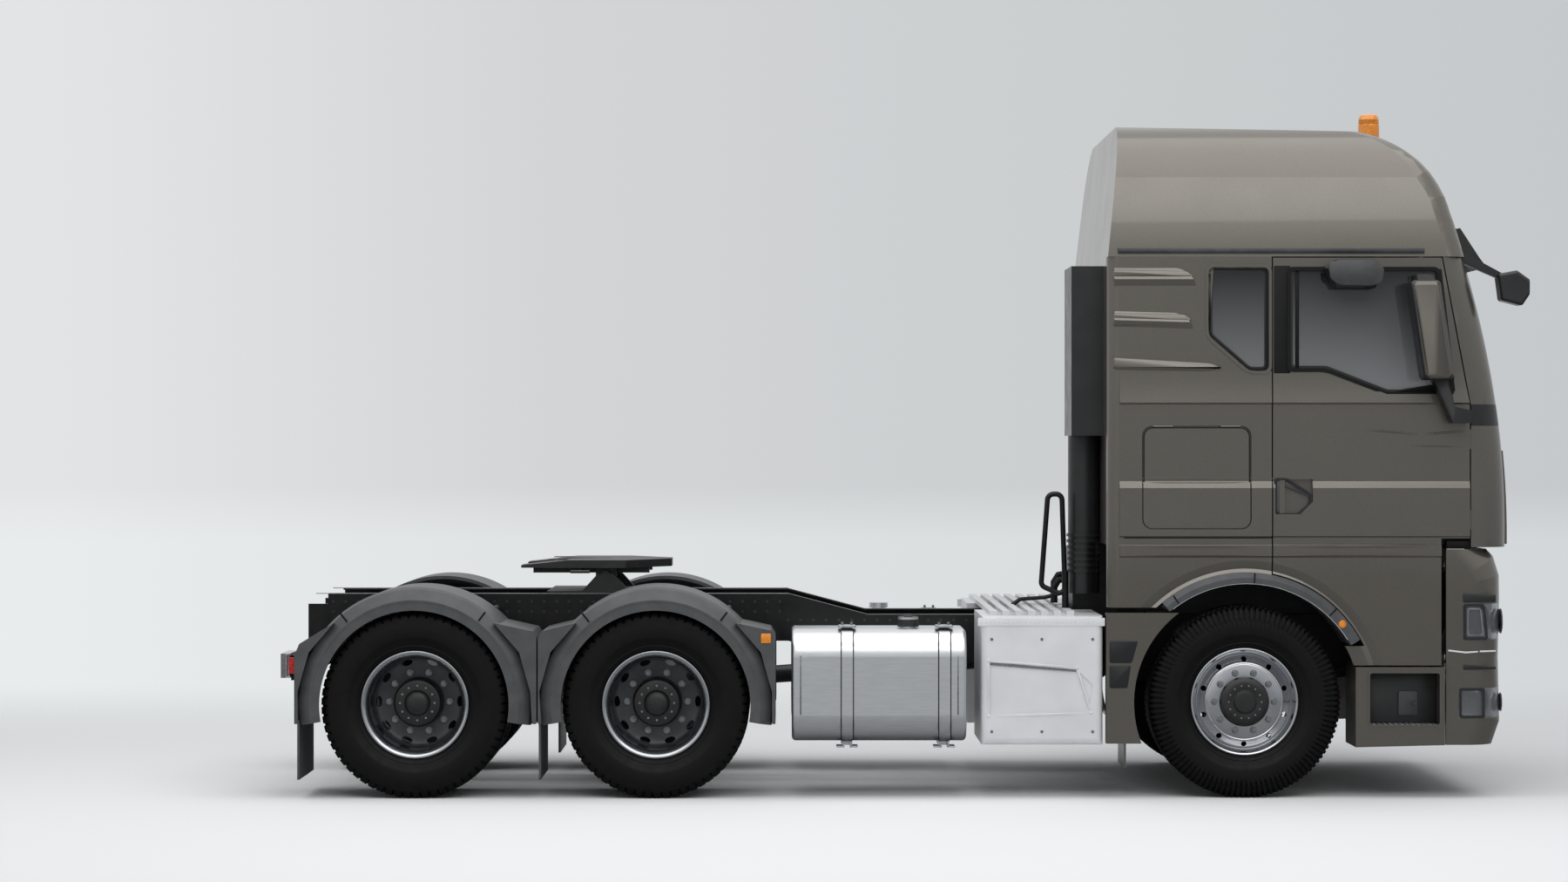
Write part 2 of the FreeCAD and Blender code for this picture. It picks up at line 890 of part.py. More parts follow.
def knuckle():
    y = -s.kingpin_half
    lug_top = rod("Z", 0, y, hub_z + pin_top, s.kingpin_boss_radius, s.fork_lug)
    lug_low = rod("Z", 0, y, hub_z - pin_top - s.fork_lug, s.kingpin_boss_radius, s.fork_lug)
    pin = rod("Z", 0, y, hub_z - pin_top - s.fork_lug, s.kingpin_radius, (pin_top + s.fork_lug) * 2)
    web_out = y - boss_clear - s.fork_web
    web = box(-s.fork_half, s.fork_half, web_out, y - boss_clear, hub_z - pin_top - s.fork_lug,
              hub_z + pin_top + s.fork_lug)
    bridge_top = box(-s.fork_half, s.fork_half, web_out, y, hub_z + pin_top, hub_z + pin_top + s.fork_lug)
    bridge_low = box(-s.fork_half, s.fork_half, web_out, y, hub_z - pin_top - s.fork_lug, hub_z - pin_top)
    end = -s.front_track_half - s.front_hub_face + 20 + s.spindle_gap
    spindle = rod("Y", 0, end, hub_z, s.front_spindle_radius, web_out - end + 10)
    arm_z = hub_z - pin_top - s.fork_lug
    arm = box(-s.steering_arm, 0, y - s.ball_radius * 2, y + s.ball_radius * 2, arm_z,
              arm_z + s.steering_arm_plate)
    arm_end = rod("Z", -s.steering_arm, y, arm_z, s.ball_radius * 2, s.steering_arm_plate)
    stud = rod("Z", -s.steering_arm, y, arm_z + s.steering_arm_plate, s.ball_radius, s.rod_eye_height + 6)
    return fuse(lug_top, lug_low, pin, web, bridge_top, bridge_low, spindle, arm, arm_end, stud)


pair("knuckle", knuckle())

eye_z = hub_z - pin_top - s.fork_lug + s.steering_arm_plate + 2
eye_hole = s.ball_radius + s.running_clearance
eyes = [rod("Z", -s.steering_arm, side, eye_z, s.rod_eye_radius, s.rod_eye_height)
        for side in (-s.kingpin_half, s.kingpin_half + 0)]
holes = [rod("Z", -s.steering_arm, side, eye_z - 5, eye_hole, s.rod_eye_height + 10)
         for side in (-s.kingpin_half, s.kingpin_half + 0)]
bar = rod("Y", -s.steering_arm, -s.kingpin_half, eye_z + s.rod_eye_height / 2, s.rod_radius / 2 + 3,
          s.kingpin_half * 2)
node("tie_rod", cut(fuse(*eyes, bar), *holes))

# Frame: two channel rails that step down behind the cab, open towards each other.
rail_low_rear = s.rail_rear_top - s.rail_depth
rail_low_front = s.rail_front_top - s.rail_depth


def rail_profile(inset, overrun=0):
    return [
        (s.rail_rear - overrun, rail_low_rear + inset), (s.rail_slope_rear, rail_low_rear + inset),
        (s.rail_slope_front, rail_low_front + inset), (s.rail_front + overrun, rail_low_front + inset),
        (s.rail_front + overrun, s.rail_front_top - inset), (s.rail_slope_front, s.rail_front_top - inset),
        (s.rail_slope_rear, s.rail_rear_top - inset), (s.rail_rear - overrun, s.rail_rear_top - inset),
    ]


def rail():
    solid = side_pad(rail_profile(0), -s.rail_outer, -s.rail_outer + s.rail_flange)
    hollow = side_pad(rail_profile(s.rail_web, 20), -s.rail_outer + s.rail_web, -s.rail_outer + s.rail_flange + 5)
    return cut(solid, hollow)


right_rail = rail()
node("frame_rails", both(right_rail))

web_inner = s.rail_outer - s.rail_web


def crossmember(x, top):
    """A channel between the two webs, open below."""
    half = s.crossmember_length / 2
    low = top - s.crossmember_depth
    solid = box(x - half, x + half, -web_inner, web_inner, low, top)
    wall = s.crossmember_wall
    hollow = box(x - half + wall, x + half - wall, -web_inner - 5, web_inner + 5, low - 5, top - wall)
    return cut(solid, hollow)


rear_level = s.rail_rear_top - s.rail_web - 30
front_level = s.rail_front_top - s.rail_web - 30
members = [crossmember(x, rear_level) for x in (s.tail_crossmember, s.bogie_crossmember, s.mid_crossmember)]
members += [crossmember(x, front_level) for x in (s.waist_crossmember, s.front_crossmember)]
cab_rest = s.floor_bottom - s.cab_rest_gap
post_end = s.cab_post + s.cab_post_length
arch_solid = box(s.cab_post, post_end, -s.rail_outer, s.rail_outer, s.rail_front_top, cab_rest)
arch_hollow = box(s.cab_post - 5, post_end + 5, -s.rail_outer + s.rail_flange, s.rail_outer - s.rail_flange,
                  s.rail_front_top - 5, cab_rest - 30)
members.append(cut(arch_solid, arch_hollow))

# Engine and gearbox as one block on four feet that rest on the rails.
block = box(s.engine_rear, s.engine_front, -s.engine_half, s.engine_half, s.engine_bottom, s.engine_top)
feet = []
for x in (s.engine_rear + s.engine_foot * 3, s.engine_front - s.engine_foot * 2):
    feet.append(box(x, x + s.engine_foot, -s.rail_outer, s.rail_outer, s.rail_front_top,
                    s.rail_front_top + s.engine_foot_height))
node("engine_block", fuse(block, *feet))

# Front axle beam: dropped in the middle, with an eye for each kingpin.
seat_top = s.beam_bottom + s.beam_height + 50
eye_low = hub_z - s.kingpin_boss_half
eye_top = hub_z + s.kingpin_boss_half
beam_line = [
    (-s.kingpin_half, eye_low + 20), (-s.beam_drop_half, s.beam_bottom + 30), (-s.beam_seat_half, s.beam_bottom),
    (s.beam_seat_half, s.beam_bottom), (s.beam_drop_half, s.beam_bottom + 30), (s.kingpin_half, eye_low + 20),
    (s.kingpin_half, eye_top - 20), (s.beam_drop_half, seat_top), (s.beam_seat_half, seat_top),
    (s.beam_seat_half - 60, seat_top - 50), (-s.beam_seat_half + 60, seat_top - 50), (-s.beam_seat_half, seat_top),
    (-s.beam_drop_half, seat_top), (-s.kingpin_half, eye_top - 20),
]
beam = front_pad(beam_line, -s.beam_half_depth, s.beam_half_depth)
beam_eyes = [rod("Z", 0, side, eye_low, s.kingpin_boss_radius, s.kingpin_boss_half * 2)
             for side in (-s.kingpin_half, s.kingpin_half + 0)]
beam_holes = [rod("Z", 0, side, eye_low - 5, s.kingpin_radius + s.running_clearance, s.kingpin_boss_half * 2 + 10)
              for side in (-s.kingpin_half, s.kingpin_half + 0)]
node("front_axle_beam", cut(fuse(beam, *beam_eyes), *beam_holes))

# Drive axles: a tube with a bowl for the gears, and a spindle through each hub.
drive_axles = []
for place, axle in rear_axles.items():
    tube = rod("Y", 0, -s.axle_tube_half, 0, s.axle_tube_radius, s.axle_tube_half * 2)
    bowl = turned([(0, -s.axle_bowl_width / 2), (s.axle_bowl_radius - 60, -s.axle_bowl_width / 2),
                   (s.axle_bowl_radius, -s.axle_bowl_width / 4), (s.axle_bowl_radius, s.axle_bowl_width / 4),
                   (s.axle_bowl_radius - 60, s.axle_bowl_width / 2), (0, s.axle_bowl_width / 2)])
    reach = s.twin_track_half + s.rear_hub_face - 20 - s.spindle_gap
    spindle = rod("Y", 0, -reach, 0, s.rear_spindle_radius, reach * 2)
    plates = [rod("Y", 0, side, 0, s.brake_radius - 20, 16)
              for side in (-s.twin_track_half + s.brake_drum_back + 10, s.twin_track_half - s.brake_drum_back - 26)]
    seats = [box(-55, 55, side, side + s.spring_width, s.axle_tube_radius - 20, s.axle_tube_radius + 30)
             for side in (-s.rail_outer, s.rail_outer - s.spring_width)]
    drive_axles.append(move(fuse(tube, bowl, spindle, *plates, *seats), axle, 0, s.rear_tyre_radius))


def shaft(x0, z0, x1, z1, radius):
    """A round bar in the centre plane, from one point towards the rear to another."""
    length = (((x0 - x1) * (x0 - x1)).value + ((z0 - z1) * (z0 - z1)).value) ** 0.5
    item = rod("X", x0, 0, z0, radius, length)
    lean = math.atan2((z1 - z0).value, (x1 - x0).value)
    item.Placement.Rotation = FreeCAD.Rotation(FreeCAD.Vector(0, 1, 0), 90 - math.degrees(lean))
    return item


hub_line = s.rear_tyre_radius + s.pinion_rise
pinions = []
for place, axle in rear_axles.items():
    pinions.append(rod("X", axle, 0, hub_line, s.pinion_radius, s.axle_bowl_radius + s.pinion_length))
    for side in (-s.chamber_y - s.chamber_length, s.chamber_y + 0):
        pinions.append(rod("Y", axle + s.chamber_x, side, s.rear_tyre_radius, s.chamber_radius, s.chamber_length))
        bracket_y = side + (s.chamber_length - s.chamber_bracket) / 2
        pinions.append(box(axle, axle + s.chamber_x, bracket_y, bracket_y + s.chamber_bracket,
                           s.rear_tyre_radius - s.chamber_bracket / 2, s.rear_tyre_radius + s.chamber_bracket / 2))
through_end = -s.wheelbase - s.axle_bowl_radius
through_start = -s.wheelbase - s.bogie_spacing + s.axle_bowl_radius + s.pinion_length
pinions.append(rod("X", through_start, 0, hub_line, s.prop_radius, through_end - through_start + 20))
gear_end = s.engine_rear - s.running_clearance
front_pinion = -s.wheelbase + s.axle_bowl_radius + s.pinion_length
prop = shaft(front_pinion, hub_line, gear_end - s.joint_length, s.gearbox_outlet, s.prop_radius)
prop_joint = rod("X", gear_end - s.joint_length - s.prop_radius, 0, s.gearbox_outlet, s.joint_radius,
                 s.joint_length + s.prop_radius)
node("drive_axles", fuse(*drive_axles, *pinions, prop, prop_joint))

# Leaf springs: bent packs under the rails, hung from brackets at their ends or at their middle.
front_eye_z = rail_low_front - s.spring_eye - 12
front_spring_bottom = seat_top
front_spring = side_pad([
    (-s.spring_half_length, front_eye_z - s.spring_leaf / 2), (-120, front_spring_bottom),
    (120, front_spring_bottom), (s.spring_half_length, front_eye_z - s.spring_leaf / 2),
    (s.spring_half_length, front_eye_z + s.spring_leaf / 2), (120, front_spring_bottom + s.spring_leaf * 1.6),
    (-120, front_spring_bottom + s.spring_leaf * 1.6), (-s.spring_half_length, front_eye_z + s.spring_leaf / 2),
], -s.rail_outer, -s.rail_outer + s.spring_width)
front_hangers = [box(x, x + s.hanger_length, -s.rail_outer, -s.rail_outer + s.spring_width,
                     front_eye_z - s.spring_eye, rail_low_front)
                 for x in (-s.spring_half_length - s.hanger_length / 2, s.spring_half_length - s.hanger_length / 2)]
bogie_x = -s.wheelbase - s.bogie_spacing / 2
pad_z = s.rear_tyre_radius + s.axle_tube_radius + 30
middle_z = pad_z + s.bogie_spring_rise
bogie_end = s.bogie_spacing / 2 + 60
bogie_spring = side_pad([
    (bogie_x - bogie_end, pad_z), (bogie_x - bogie_end + 130, pad_z), (bogie_x - 130, middle_z),
    (bogie_x + 130, middle_z), (bogie_x + bogie_end - 130, pad_z), (bogie_x + bogie_end, pad_z),
    (bogie_x + bogie_end, pad_z + 30), (bogie_x + 130, middle_z + 75), (bogie_x - 130, middle_z + 75),
    (bogie_x - bogie_end, pad_z + 30),
], -s.rail_outer, -s.rail_outer + s.spring_width)
bogie_bracket = box(bogie_x - s.bogie_bracket_length / 2, bogie_x + s.bogie_bracket_length / 2,
                    -s.rail_outer, -s.rail_outer + s.spring_width, middle_z + 20, rail_low_rear)
right_springs = [fuse(front_spring, *front_hangers), fuse(bogie_spring, bogie_bracket)]
node("leaf_springs", both(*right_springs))

# Heights that follow the seam between cab and roof.
roof_top = s.cab_split + s.roof_rise
roof_front = roof_top - s.roof_front_drop
roof_brow_height = roof_front - s.roof_brow_drop
roof_shoulder = s.cab_split + s.roof_shoulder_rise
window_top = s.cab_split - s.window_top_margin
quarter_top = s.cab_split - s.quarter_top_margin
screen_top = s.cab_split - s.screen_top_margin
visor_top = s.cab_split + s.visor_rise
visor_bottom = s.cab_split - s.visor_drop
ramp_top = s.cab_split - s.ramp_drop
ramp_bottom = ramp_top - s.ramp_height


# Cab shell: a side outline across the whole width, rounded at the front corners, less the same form inset.
def cab_line(inset, low, high):
    """The cab's side outline up to the roof; the nose leans back in two shallow bows."""
    return [
        (s.cab_rear + inset, low), (s.cab_nose - inset, low), (s.cab_nose - inset, s.cab_sill, -s.nose_bow),
        (s.cab_belt_front - inset, s.cab_belt, -s.screen_bow), (s.cab_split_front - inset, s.cab_split),
        (s.cab_split_front - inset - (high - s.cab_split) * s.screen_lean, high), (s.cab_rear + inset, high),
    ]


def cab_form(inset, overrun):
    low = s.door_bottom - overrun
    high = s.cab_split + overrun
    body = side_pad(cab_line(inset, low, high), -s.cab_half + inset, s.cab_half - inset)
    mid = number(s.cab_half - inset) - 1
    front = number(s.door_top_front)
    rear = number(s.cab_rear + inset) + 1
    floor = number(low)
    top = number(high)
    upright = lambda spot: abs(spot.y) > mid and floor < spot.z < top
    soften(body, s.cab_corner - inset, lambda spot: upright(spot) and spot.x > front)
    return soften(body, s.cab_rear_corner - inset, lambda spot: upright(spot) and spot.x < rear)


plain_shell = cut(cab_form(s.cab_wall * 0, s.cab_wall), cab_form(s.cab_wall, s.cab_wall * 2))
outside = s.cab_half + 200
inside = s.cab_half - s.cab_corner - s.cab_wall * 4
swage_root = -s.cab_half + s.swage_root


def swage(levels):
    """A strip along the right-hand skin; levels are pairs of height and depth in front of it, from the top down."""
    line = [(swage_root, levels[0][0]), *[(-s.cab_half - depth, height) for height, depth in levels],
            (swage_root, levels[-1][0])]
    return front_pad(line, s.cab_rear + s.cab_rear_corner, s.cab_belt_front - s.cab_corner - s.swage_run_out)


def rib(height, slope, upper, lower, length, curve):
    """A ridge towards the rear of the side, with a rounded front end; slope is in degrees, down to the front."""
    ridge = front_pad([(swage_root, upper), (-s.cab_half, upper), (-s.cab_half - s.rib_depth, 0),
                       (-s.cab_half, -lower), (swage_root, -lower)], 0, length)
    outline = side_pad([(0, -lower), (length, -lower, -s.rib_bow), (length - curve, upper), (0, upper)],
                       -outside, -inside)
    item = common(ridge, outline)
    item.Placement.Rotation = FreeCAD.Rotation(FreeCAD.Vector(0, 1, 0), slope)
    return move(item, s.rib_rear, 0, height)


belt_flare = front_pad([
    (swage_root, s.belt_flare_top), (-s.cab_half, s.belt_flare_top, s.belt_flare_bow),
    (-s.cab_half - s.belt_depth, s.belt_line), (-s.cab_half, s.belt_line - s.swage_edge),
    (swage_root, s.belt_line - s.swage_edge),
], s.cab_rear + s.cab_rear_corner, s.cab_belt_front - s.cab_corner - s.swage_run_out)
swages = [
    belt_flare,
    swage([(s.waist_line, s.waist_depth * 0), (s.waist_line - s.waist_drop, s.waist_depth),
           (s.waist_low + s.swage_edge, s.waist_depth), (s.waist_low, s.waist_depth * 0)]),
    swage([(s.sill_swage_top, s.sill_swage_depth * 0), (s.sill_swage_top - s.swage_edge, s.sill_swage_depth),
           (s.sill_swage_low + s.swage_edge, s.sill_swage_depth), (s.sill_swage_low, s.sill_swage_depth * 0)]),
]
for rib_sizes in RIBS:
    swages.append(rib(*rib_sizes))
shell = fuse(plain_shell, *swages, *[mirror(item) for item in swages])
cove = turned([
    (s.cove_outer, -s.cab_half), (s.cove_deep, -s.cab_half + s.cove_depth), (s.arch_outer - 10, -s.cab_half),
    (s.arch_outer - 10, -outside), (s.cove_outer, -outside),
])
move(cove, 0, 0, s.front_tyre_radius)
split = s.cab_split
gap = s.panel_gap


def door_line(grow):
    """The door's outline seen from the side, with its skirt in front of the wheel."""
    top = split - gap + grow
    return [
        (s.door_rear - grow, s.door_bottom - grow), (s.door_skirt_front + grow, s.door_bottom - grow),
        (s.door_skirt_front + grow, s.door_main_bottom - grow), (s.door_front + grow, s.door_main_bottom - grow),
        (s.door_front + grow, s.door_belt), (s.door_top_front + grow, top), (s.door_rear - grow, top),
    ]


def window_line(shrink):
    return [
        (s.window_rear + shrink, s.window_bottom_rear + shrink),
        (s.window_dip_start + shrink, s.window_bottom_rear + shrink), (s.window_dip_end, s.window_bottom + shrink),
        (s.window_front - shrink, s.window_bottom + shrink), (s.window_top_front - shrink, window_top - shrink),
        (s.window_rear + shrink, window_top - shrink),
    ]


def quarter_line(shrink):
    return [
        (s.quarter_bottom_rear + shrink, s.quarter_bottom + shrink), (s.quarter_front - shrink, s.quarter_bottom + shrink),
        (s.quarter_front - shrink, quarter_top - shrink), (s.quarter_rear + shrink, quarter_top - shrink),
        (s.quarter_rear_low + shrink, s.quarter_knee),
    ]


def hatch_form(grow):
    """The hatch as a block with rounded corners, from outside the skin to the hatch's depth."""
    body = side_pad([
        (s.hatch_rear - grow, s.hatch_bottom - grow), (s.hatch_front + grow, s.hatch_bottom - grow),
        (s.hatch_front + grow, s.hatch_top + grow), (s.hatch_rear - grow, s.hatch_top + grow),
    ], -outside, -s.cab_half + s.hatch_wall)
    outer_face = number(-outside) + 1
    inner_face = number(-s.cab_half + s.hatch_wall) - 1
    return soften(body, s.hatch_corner + grow, lambda spot: outer_face < spot.y < inner_face)


def right_slab(points, depth=None):
    """A prism that reaches from outside the cab's right-hand skin to a depth behind it."""
    return side_pad(points, -outside, -inside if depth is None else -s.cab_half + depth)


hinge_y = -s.cab_half + s.hinge_inset


def door_hinges(grow):
    """Barrels on the right-hand door's hinge axis, in the gap before it."""
    length = s.hinge_length + grow * 2
    return [rod("Z", s.door_front + gap / 2, hinge_y, z - length / 2, s.hinge_radius + grow, length)
            for z in (s.door_hinge_low, s.door_hinge_high)]


def hatch_hinges(grow):
    """Barrels on the right-hand hatch's hinge axis, in the gap above it."""
    length = s.hinge_length + grow * 2
    middle = (s.hatch_rear + s.hatch_front) / 2
    return [rod("X", x - length / 2, hinge_y, s.hatch_top + gap / 2, s.hinge_radius + grow, length)
            for x in (middle - s.hatch_hinge_offset, middle + s.hatch_hinge_offset)]


hub_height = s.front_tyre_radius
door_heel = hub_height + s.arch_inner * sine(s.arch_front_angle) - s.door_arch_gap
wheel_cut = rod("Y", 0, -outside, hub_height, s.arch_outer + s.running_clearance, outside - inside)
door_wheel_cut = common(rod("Y", 0, -outside, hub_height, s.arch_outer + s.door_arch_gap, outside - inside),
                        box(-s.arch_outer * 2, s.arch_outer * 2, -outside, -inside, door_heel, s.cab_belt))
door_heel_cut = rod("Y", 0, -outside, hub_height, s.door_heel_radius, outside - inside)

# Doors: the skin with its skirt, cut round the wheel arch and for the window.
handle_floor = -s.cab_half + s.handle_depth
handle_pocket = side_pad([
    (s.door_rear + s.handle_edge, s.handle_bottom), (s.handle_front - s.handle_taper, s.handle_bottom),
    (s.handle_front, s.handle_bottom + s.handle_taper), (s.handle_front, s.handle_top),
    (s.door_rear + s.handle_edge, s.handle_top),
], -outside, handle_floor)
handle_x = s.door_rear + s.handle_edge * 3
handle_bar = box(handle_x, handle_x + s.handle_bar, -s.cab_half, handle_floor - s.handle_grip,
                 s.handle_bottom - s.swage_edge, s.handle_top + s.swage_edge)
door = cut(common(shell, right_slab(door_line(s.cab_wall * 0))), door_wheel_cut, door_heel_cut, cove,
           right_slab(window_line(s.cab_wall * 0)), handle_pocket)
pair("door", fuse(door, handle_bar, *door_hinges(s.running_clearance * 0)))

glass_outer = -s.cab_half + s.glass_inset
door_glass = side_pad(window_line(s.seal_clearance), glass_outer, glass_outer + s.glass_wall)
pair("door_glass", door_glass)

# Cab sides behind the doors, with quarter window, hatch and the top of the wheel arch.
side_rear = s.cab_rear + s.cab_wall
side = cut(common(shell, box(side_rear, s.door_rear - gap, -outside, -inside, s.skirt_bottom, split)), wheel_cut, cove,
           right_slab(quarter_line(s.cab_wall * 0)), hatch_form(gap),
           box(s.hatch_rear + 40, s.hatch_front - 40, -s.cab_half, -inside, s.hatch_bottom + 40, s.hatch_top - 40),
           *hatch_hinges(s.running_clearance))
pair("cab_side", side)
quarter_glass = side_pad(quarter_line(s.seal_clearance), glass_outer, glass_outer + s.glass_wall)
hatch = common(shell, hatch_form(s.cab_wall * 0))
pair("hatch", fuse(hatch, *hatch_hinges(s.running_clearance * 0)))

back_panel = common(shell, box(s.cab_rear - 10, side_rear, -outside, outside, s.skirt_bottom, split))
corner_inner = s.cab_half - s.cab_wall
below_floor = box(s.cab_rear - 20, side_rear + 10, -corner_inner, corner_inner, s.skirt_bottom - 10, s.floor_bottom)
node("cab_back", cut(back_panel, below_floor))

# Cab front: pillars and corners in front of the doors, open for the windscreen, the cowl and the flap.
front_line = [
    (s.door_front + gap, s.cab_sill), (s.cab_nose + 100, s.cab_sill), (s.cab_nose + 100, split),
    (s.door_top_front + gap, split), (s.door_top_front + gap, split - gap), (s.door_front + gap, s.door_belt),
]
nose = common(plain_shell, side_pad(front_line, -outside, outside))


def front_block(half, low, high):
    return box(s.door_top_front, s.cab_nose + 200, -half, half, low, high)


flap_depth = s.cab_nose - s.flap_wall
flap_open = box(s.cab_belt_front - s.flap_wall * 3, s.cab_nose + 200, -s.flap_half - gap, s.flap_half + gap,
                s.flap_bottom - gap, s.flap_top + gap)
cowl_block = box(s.door_front + gap, s.cab_nose + 200, -outside, outside, s.cowl_bottom, s.cowl_top)


def flap_hinges(grow):
    """Barrels on the flap's hinge axis, in the gap above it."""
    length = s.flap_hinge_length + grow * 2
    return [rod("Y", s.cab_belt_front + s.flap_proud / 2, y - length / 2, s.flap_top + gap / 2, s.flap_hinge + grow, length)
            for y in (-s.flap_hinge_y, s.flap_hinge_y + 0)]


door_grooves = door_hinges(s.running_clearance)
node("cab_front", cut(nose, front_block(s.screen_half, s.screen_bottom, screen_top), cowl_block, flap_open,
                      *flap_hinges(s.running_clearance), *door_grooves, *[mirror(item) for item in door_grooves]))
node("windscreen_cowl", common(nose, cowl_block))


def nose_strip(outer, inner, low, high, half):
    """A sheet that follows the cab's nose between two depths behind its skin."""
    return side_pad([
        (s.cab_split_front - outer, s.cab_split), (s.cab_split_front - inner, s.cab_split, s.screen_bow),
        (s.cab_belt_front - inner, s.cab_belt), (s.cab_belt_front - outer, s.cab_belt, -s.screen_bow),
    ], -half, half)


pane = common(nose_strip(s.glass_inset, s.glass_inset + s.glass_wall + 2, s.screen_bottom, screen_top,
                         s.screen_half - s.seal_clearance),
              front_block(s.screen_half, s.screen_bottom + s.seal_clearance, screen_top - s.seal_clearance))
node("cab_glass", group(pane, quarter_glass, mirror(quarter_glass)))

flap_line = [
    (s.cab_nose - s.flap_wall, s.flap_bottom), (s.cab_nose + s.flap_proud, s.flap_bottom, -s.nose_bow),
    (s.cab_belt_front + s.flap_proud, s.flap_top), (s.cab_belt_front - s.flap_wall, s.flap_top, s.nose_bow),
]
flap = side_pad(flap_line, -s.flap_half, s.flap_half)
node("front_flap", fuse(flap, *flap_hinges(s.running_clearance * 0)))

# Bulkhead behind the flap, floor, and the arms that carry the cab on its tilt pivot.
cavity = cab_form(s.cab_wall, s.cab_wall)
floor_half = s.cab_half - s.cab_wall - s.floor_inset
floor = common(cavity, box(s.cab_rear, s.cab_nose, -floor_half, floor_half, s.floor_bottom, s.floor_top))
bulkhead = box(s.cab_belt_front - s.cab_wall * 3, s.cab_belt_front - s.cab_wall * 3 + 30, -floor_half, floor_half,
               s.floor_top - 5, s.flap_top + 40)
arms = []
for side_sign in (-1, 1):
    low_y = -s.tilt_arm_outer if side_sign < 0 else s.tilt_bracket_outer + 4
    high_y = -s.tilt_bracket_outer - 4 if side_sign < 0 else s.tilt_arm_outer
    arms.append(box(s.tilt_x - s.tilt_arm_half, s.tilt_x + s.tilt_arm_half, low_y, high_y, s.tilt_z,
                    s.floor_bottom + 5))
    arms.append(rod("Y", s.tilt_x, low_y, s.tilt_z, s.tilt_boss, high_y - low_y))
    pin_start = low_y if side_sign < 0 else s.tilt_bracket_inner
    arms.append(rod("Y", s.tilt_x, pin_start, s.tilt_z, s.tilt_pin, s.tilt_arm_outer - s.tilt_bracket_inner))
node("cab_floor", fuse(floor, bulkhead, *arms))


# Roof: a side outline crossed with a front outline, rounded over the brow, less the same form inset.
def roof_form(inset, low):
    top = roof_top - inset
    front = roof_front - inset
    side_form = side_pad([
        (s.cab_rear + inset, low), (s.cab_split_front - inset, low), (s.cab_split_front - inset, s.cab_split, -s.screen_bow),
        (s.roof_brow - inset, roof_brow_height, -s.roof_brow_bow), (s.roof_front_start, front),
        (s.cab_rear + s.roof_rear_lean + inset, top),
    ], -s.cab_half, s.cab_half)
    half = s.cab_half - inset
    shoulder = s.roof_shoulder_half - inset
    flat = s.roof_flat_half - inset / 2
    crown = roof_top - inset + 5
    front_form = front_pad([
        (-half, low), (half, low), (half, s.cab_split, -s.roof_side_bow),
        (shoulder, roof_shoulder, -s.roof_shoulder_bow), (flat, crown), (-flat, crown, -s.roof_shoulder_bow),
        (-shoulder, roof_shoulder, -s.roof_side_bow), (-half, s.cab_split),
    ], s.cab_rear, s.cab_nose)
    return common(side_form, front_form)


def rounded_roof(inset, low):
    form = roof_form(inset, low)
    doc.recompute()
    chosen = []
    brow = number(s.roof_front_start) - 1
    for index, edge in enumerate(form.Shape.Edges, start=1):
        first, last = edge.ParameterRange
        spots = [edge.valueAt(first + (last - first) * share) for share in (0.02, 0.5, 0.98)]
        rising = abs(spots[0].z - spots[2].z) > 15
        if rising and all(abs(spot.y) > 300 and spot.x > brow and spot.z > number(low) for spot in spots):
            chosen.append((index, number(s.roof_corner - inset), number(s.roof_corner - inset)))
    item = doc.addObject("Part::Fillet", "RoofRounded")
    item.Base = form
    item.Edges = chosen
    return item


roof_skirt = s.cab_split - s.roof_wall
roof_shell = cut(rounded_roof(s.roof_wall * 0, roof_skirt), rounded_roof(s.roof_wall, roof_skirt - s.roof_wall))
above = box(s.cab_rear * 2, s.cab_nose * 2, -outside, outside, s.cab_split, roof_top * 1.2)
node("cab_roof", common(roof_shell, above))

# Wheel arch trims on the cab: a liner over the tyre with a proud lip, turned about the wheel's axle.
arch_trim = turned([
    (s.arch_inner, s.arch_liner_inner * -1), (s.arch_inner, -s.arch_half), (s.arch_outer - 30, -s.arch_half),
    (s.arch_outer, -s.arch_half + 26), (s.arch_outer, -s.arch_skin), (s.arch_inner + s.arch_liner, -s.arch_skin),
    (s.arch_inner + s.arch_liner, s.arch_liner_inner * -1),
], s.arch_sweep)
arch_trim.Placement.Rotation = FreeCAD.Rotation(FreeCAD.Vector(0, 1, 0), -number(s.arch_front_angle))
move(arch_trim, 0, 0, hub_height)
node("arch_trims", both(arch_trim))


# Bumper: a side outline across the width, rounded at its corners, less the same form inset.
def bumper_form(inset, overrun):
    front = s.bumper_front - inset
    half = s.bumper_half - inset
    low = s.bumper_bottom - overrun
    top = s.bumper_top + overrun
    rear = s.bumper_rear - overrun
    body = side_pad([
        (rear, low), (front - 45, low), (front, low + 130), (front - 8, s.head_lamp_bottom - 90),
        (front, s.head_lamp_top + 30), (front - 2, s.bumper_top - 150), (front - 36, s.bumper_top - 40),
        (front - 75, top), (rear, top),
    ], -half, half)
    corner = number(half) - 1
    start = number(s.bumper_rear) + 20
    return soften(body, s.bumper_corner - inset,
                  lambda spot: abs(spot.y) > corner and spot.x > start + 100
                  and number(low) < spot.z < number(top))


bumper_shell = cut(bumper_form(s.bumper_wall * 0, s.bumper_wall * 0), bumper_form(s.bumper_wall, s.bumper_wall * 2))
notch = box(s.bumper_rear, s.bumper_front * 2, -s.bumper_notch_half, s.bumper_notch_half, s.bumper_notch_bottom,
            s.bumper_top * 2)


def lamp_blocks(rear, inner, low, high):
    return [box(rear, s.bumper_front * 2, -outside, -inner, low, high),
            box(rear, s.bumper_front * 2, inner, outside, low, high)]


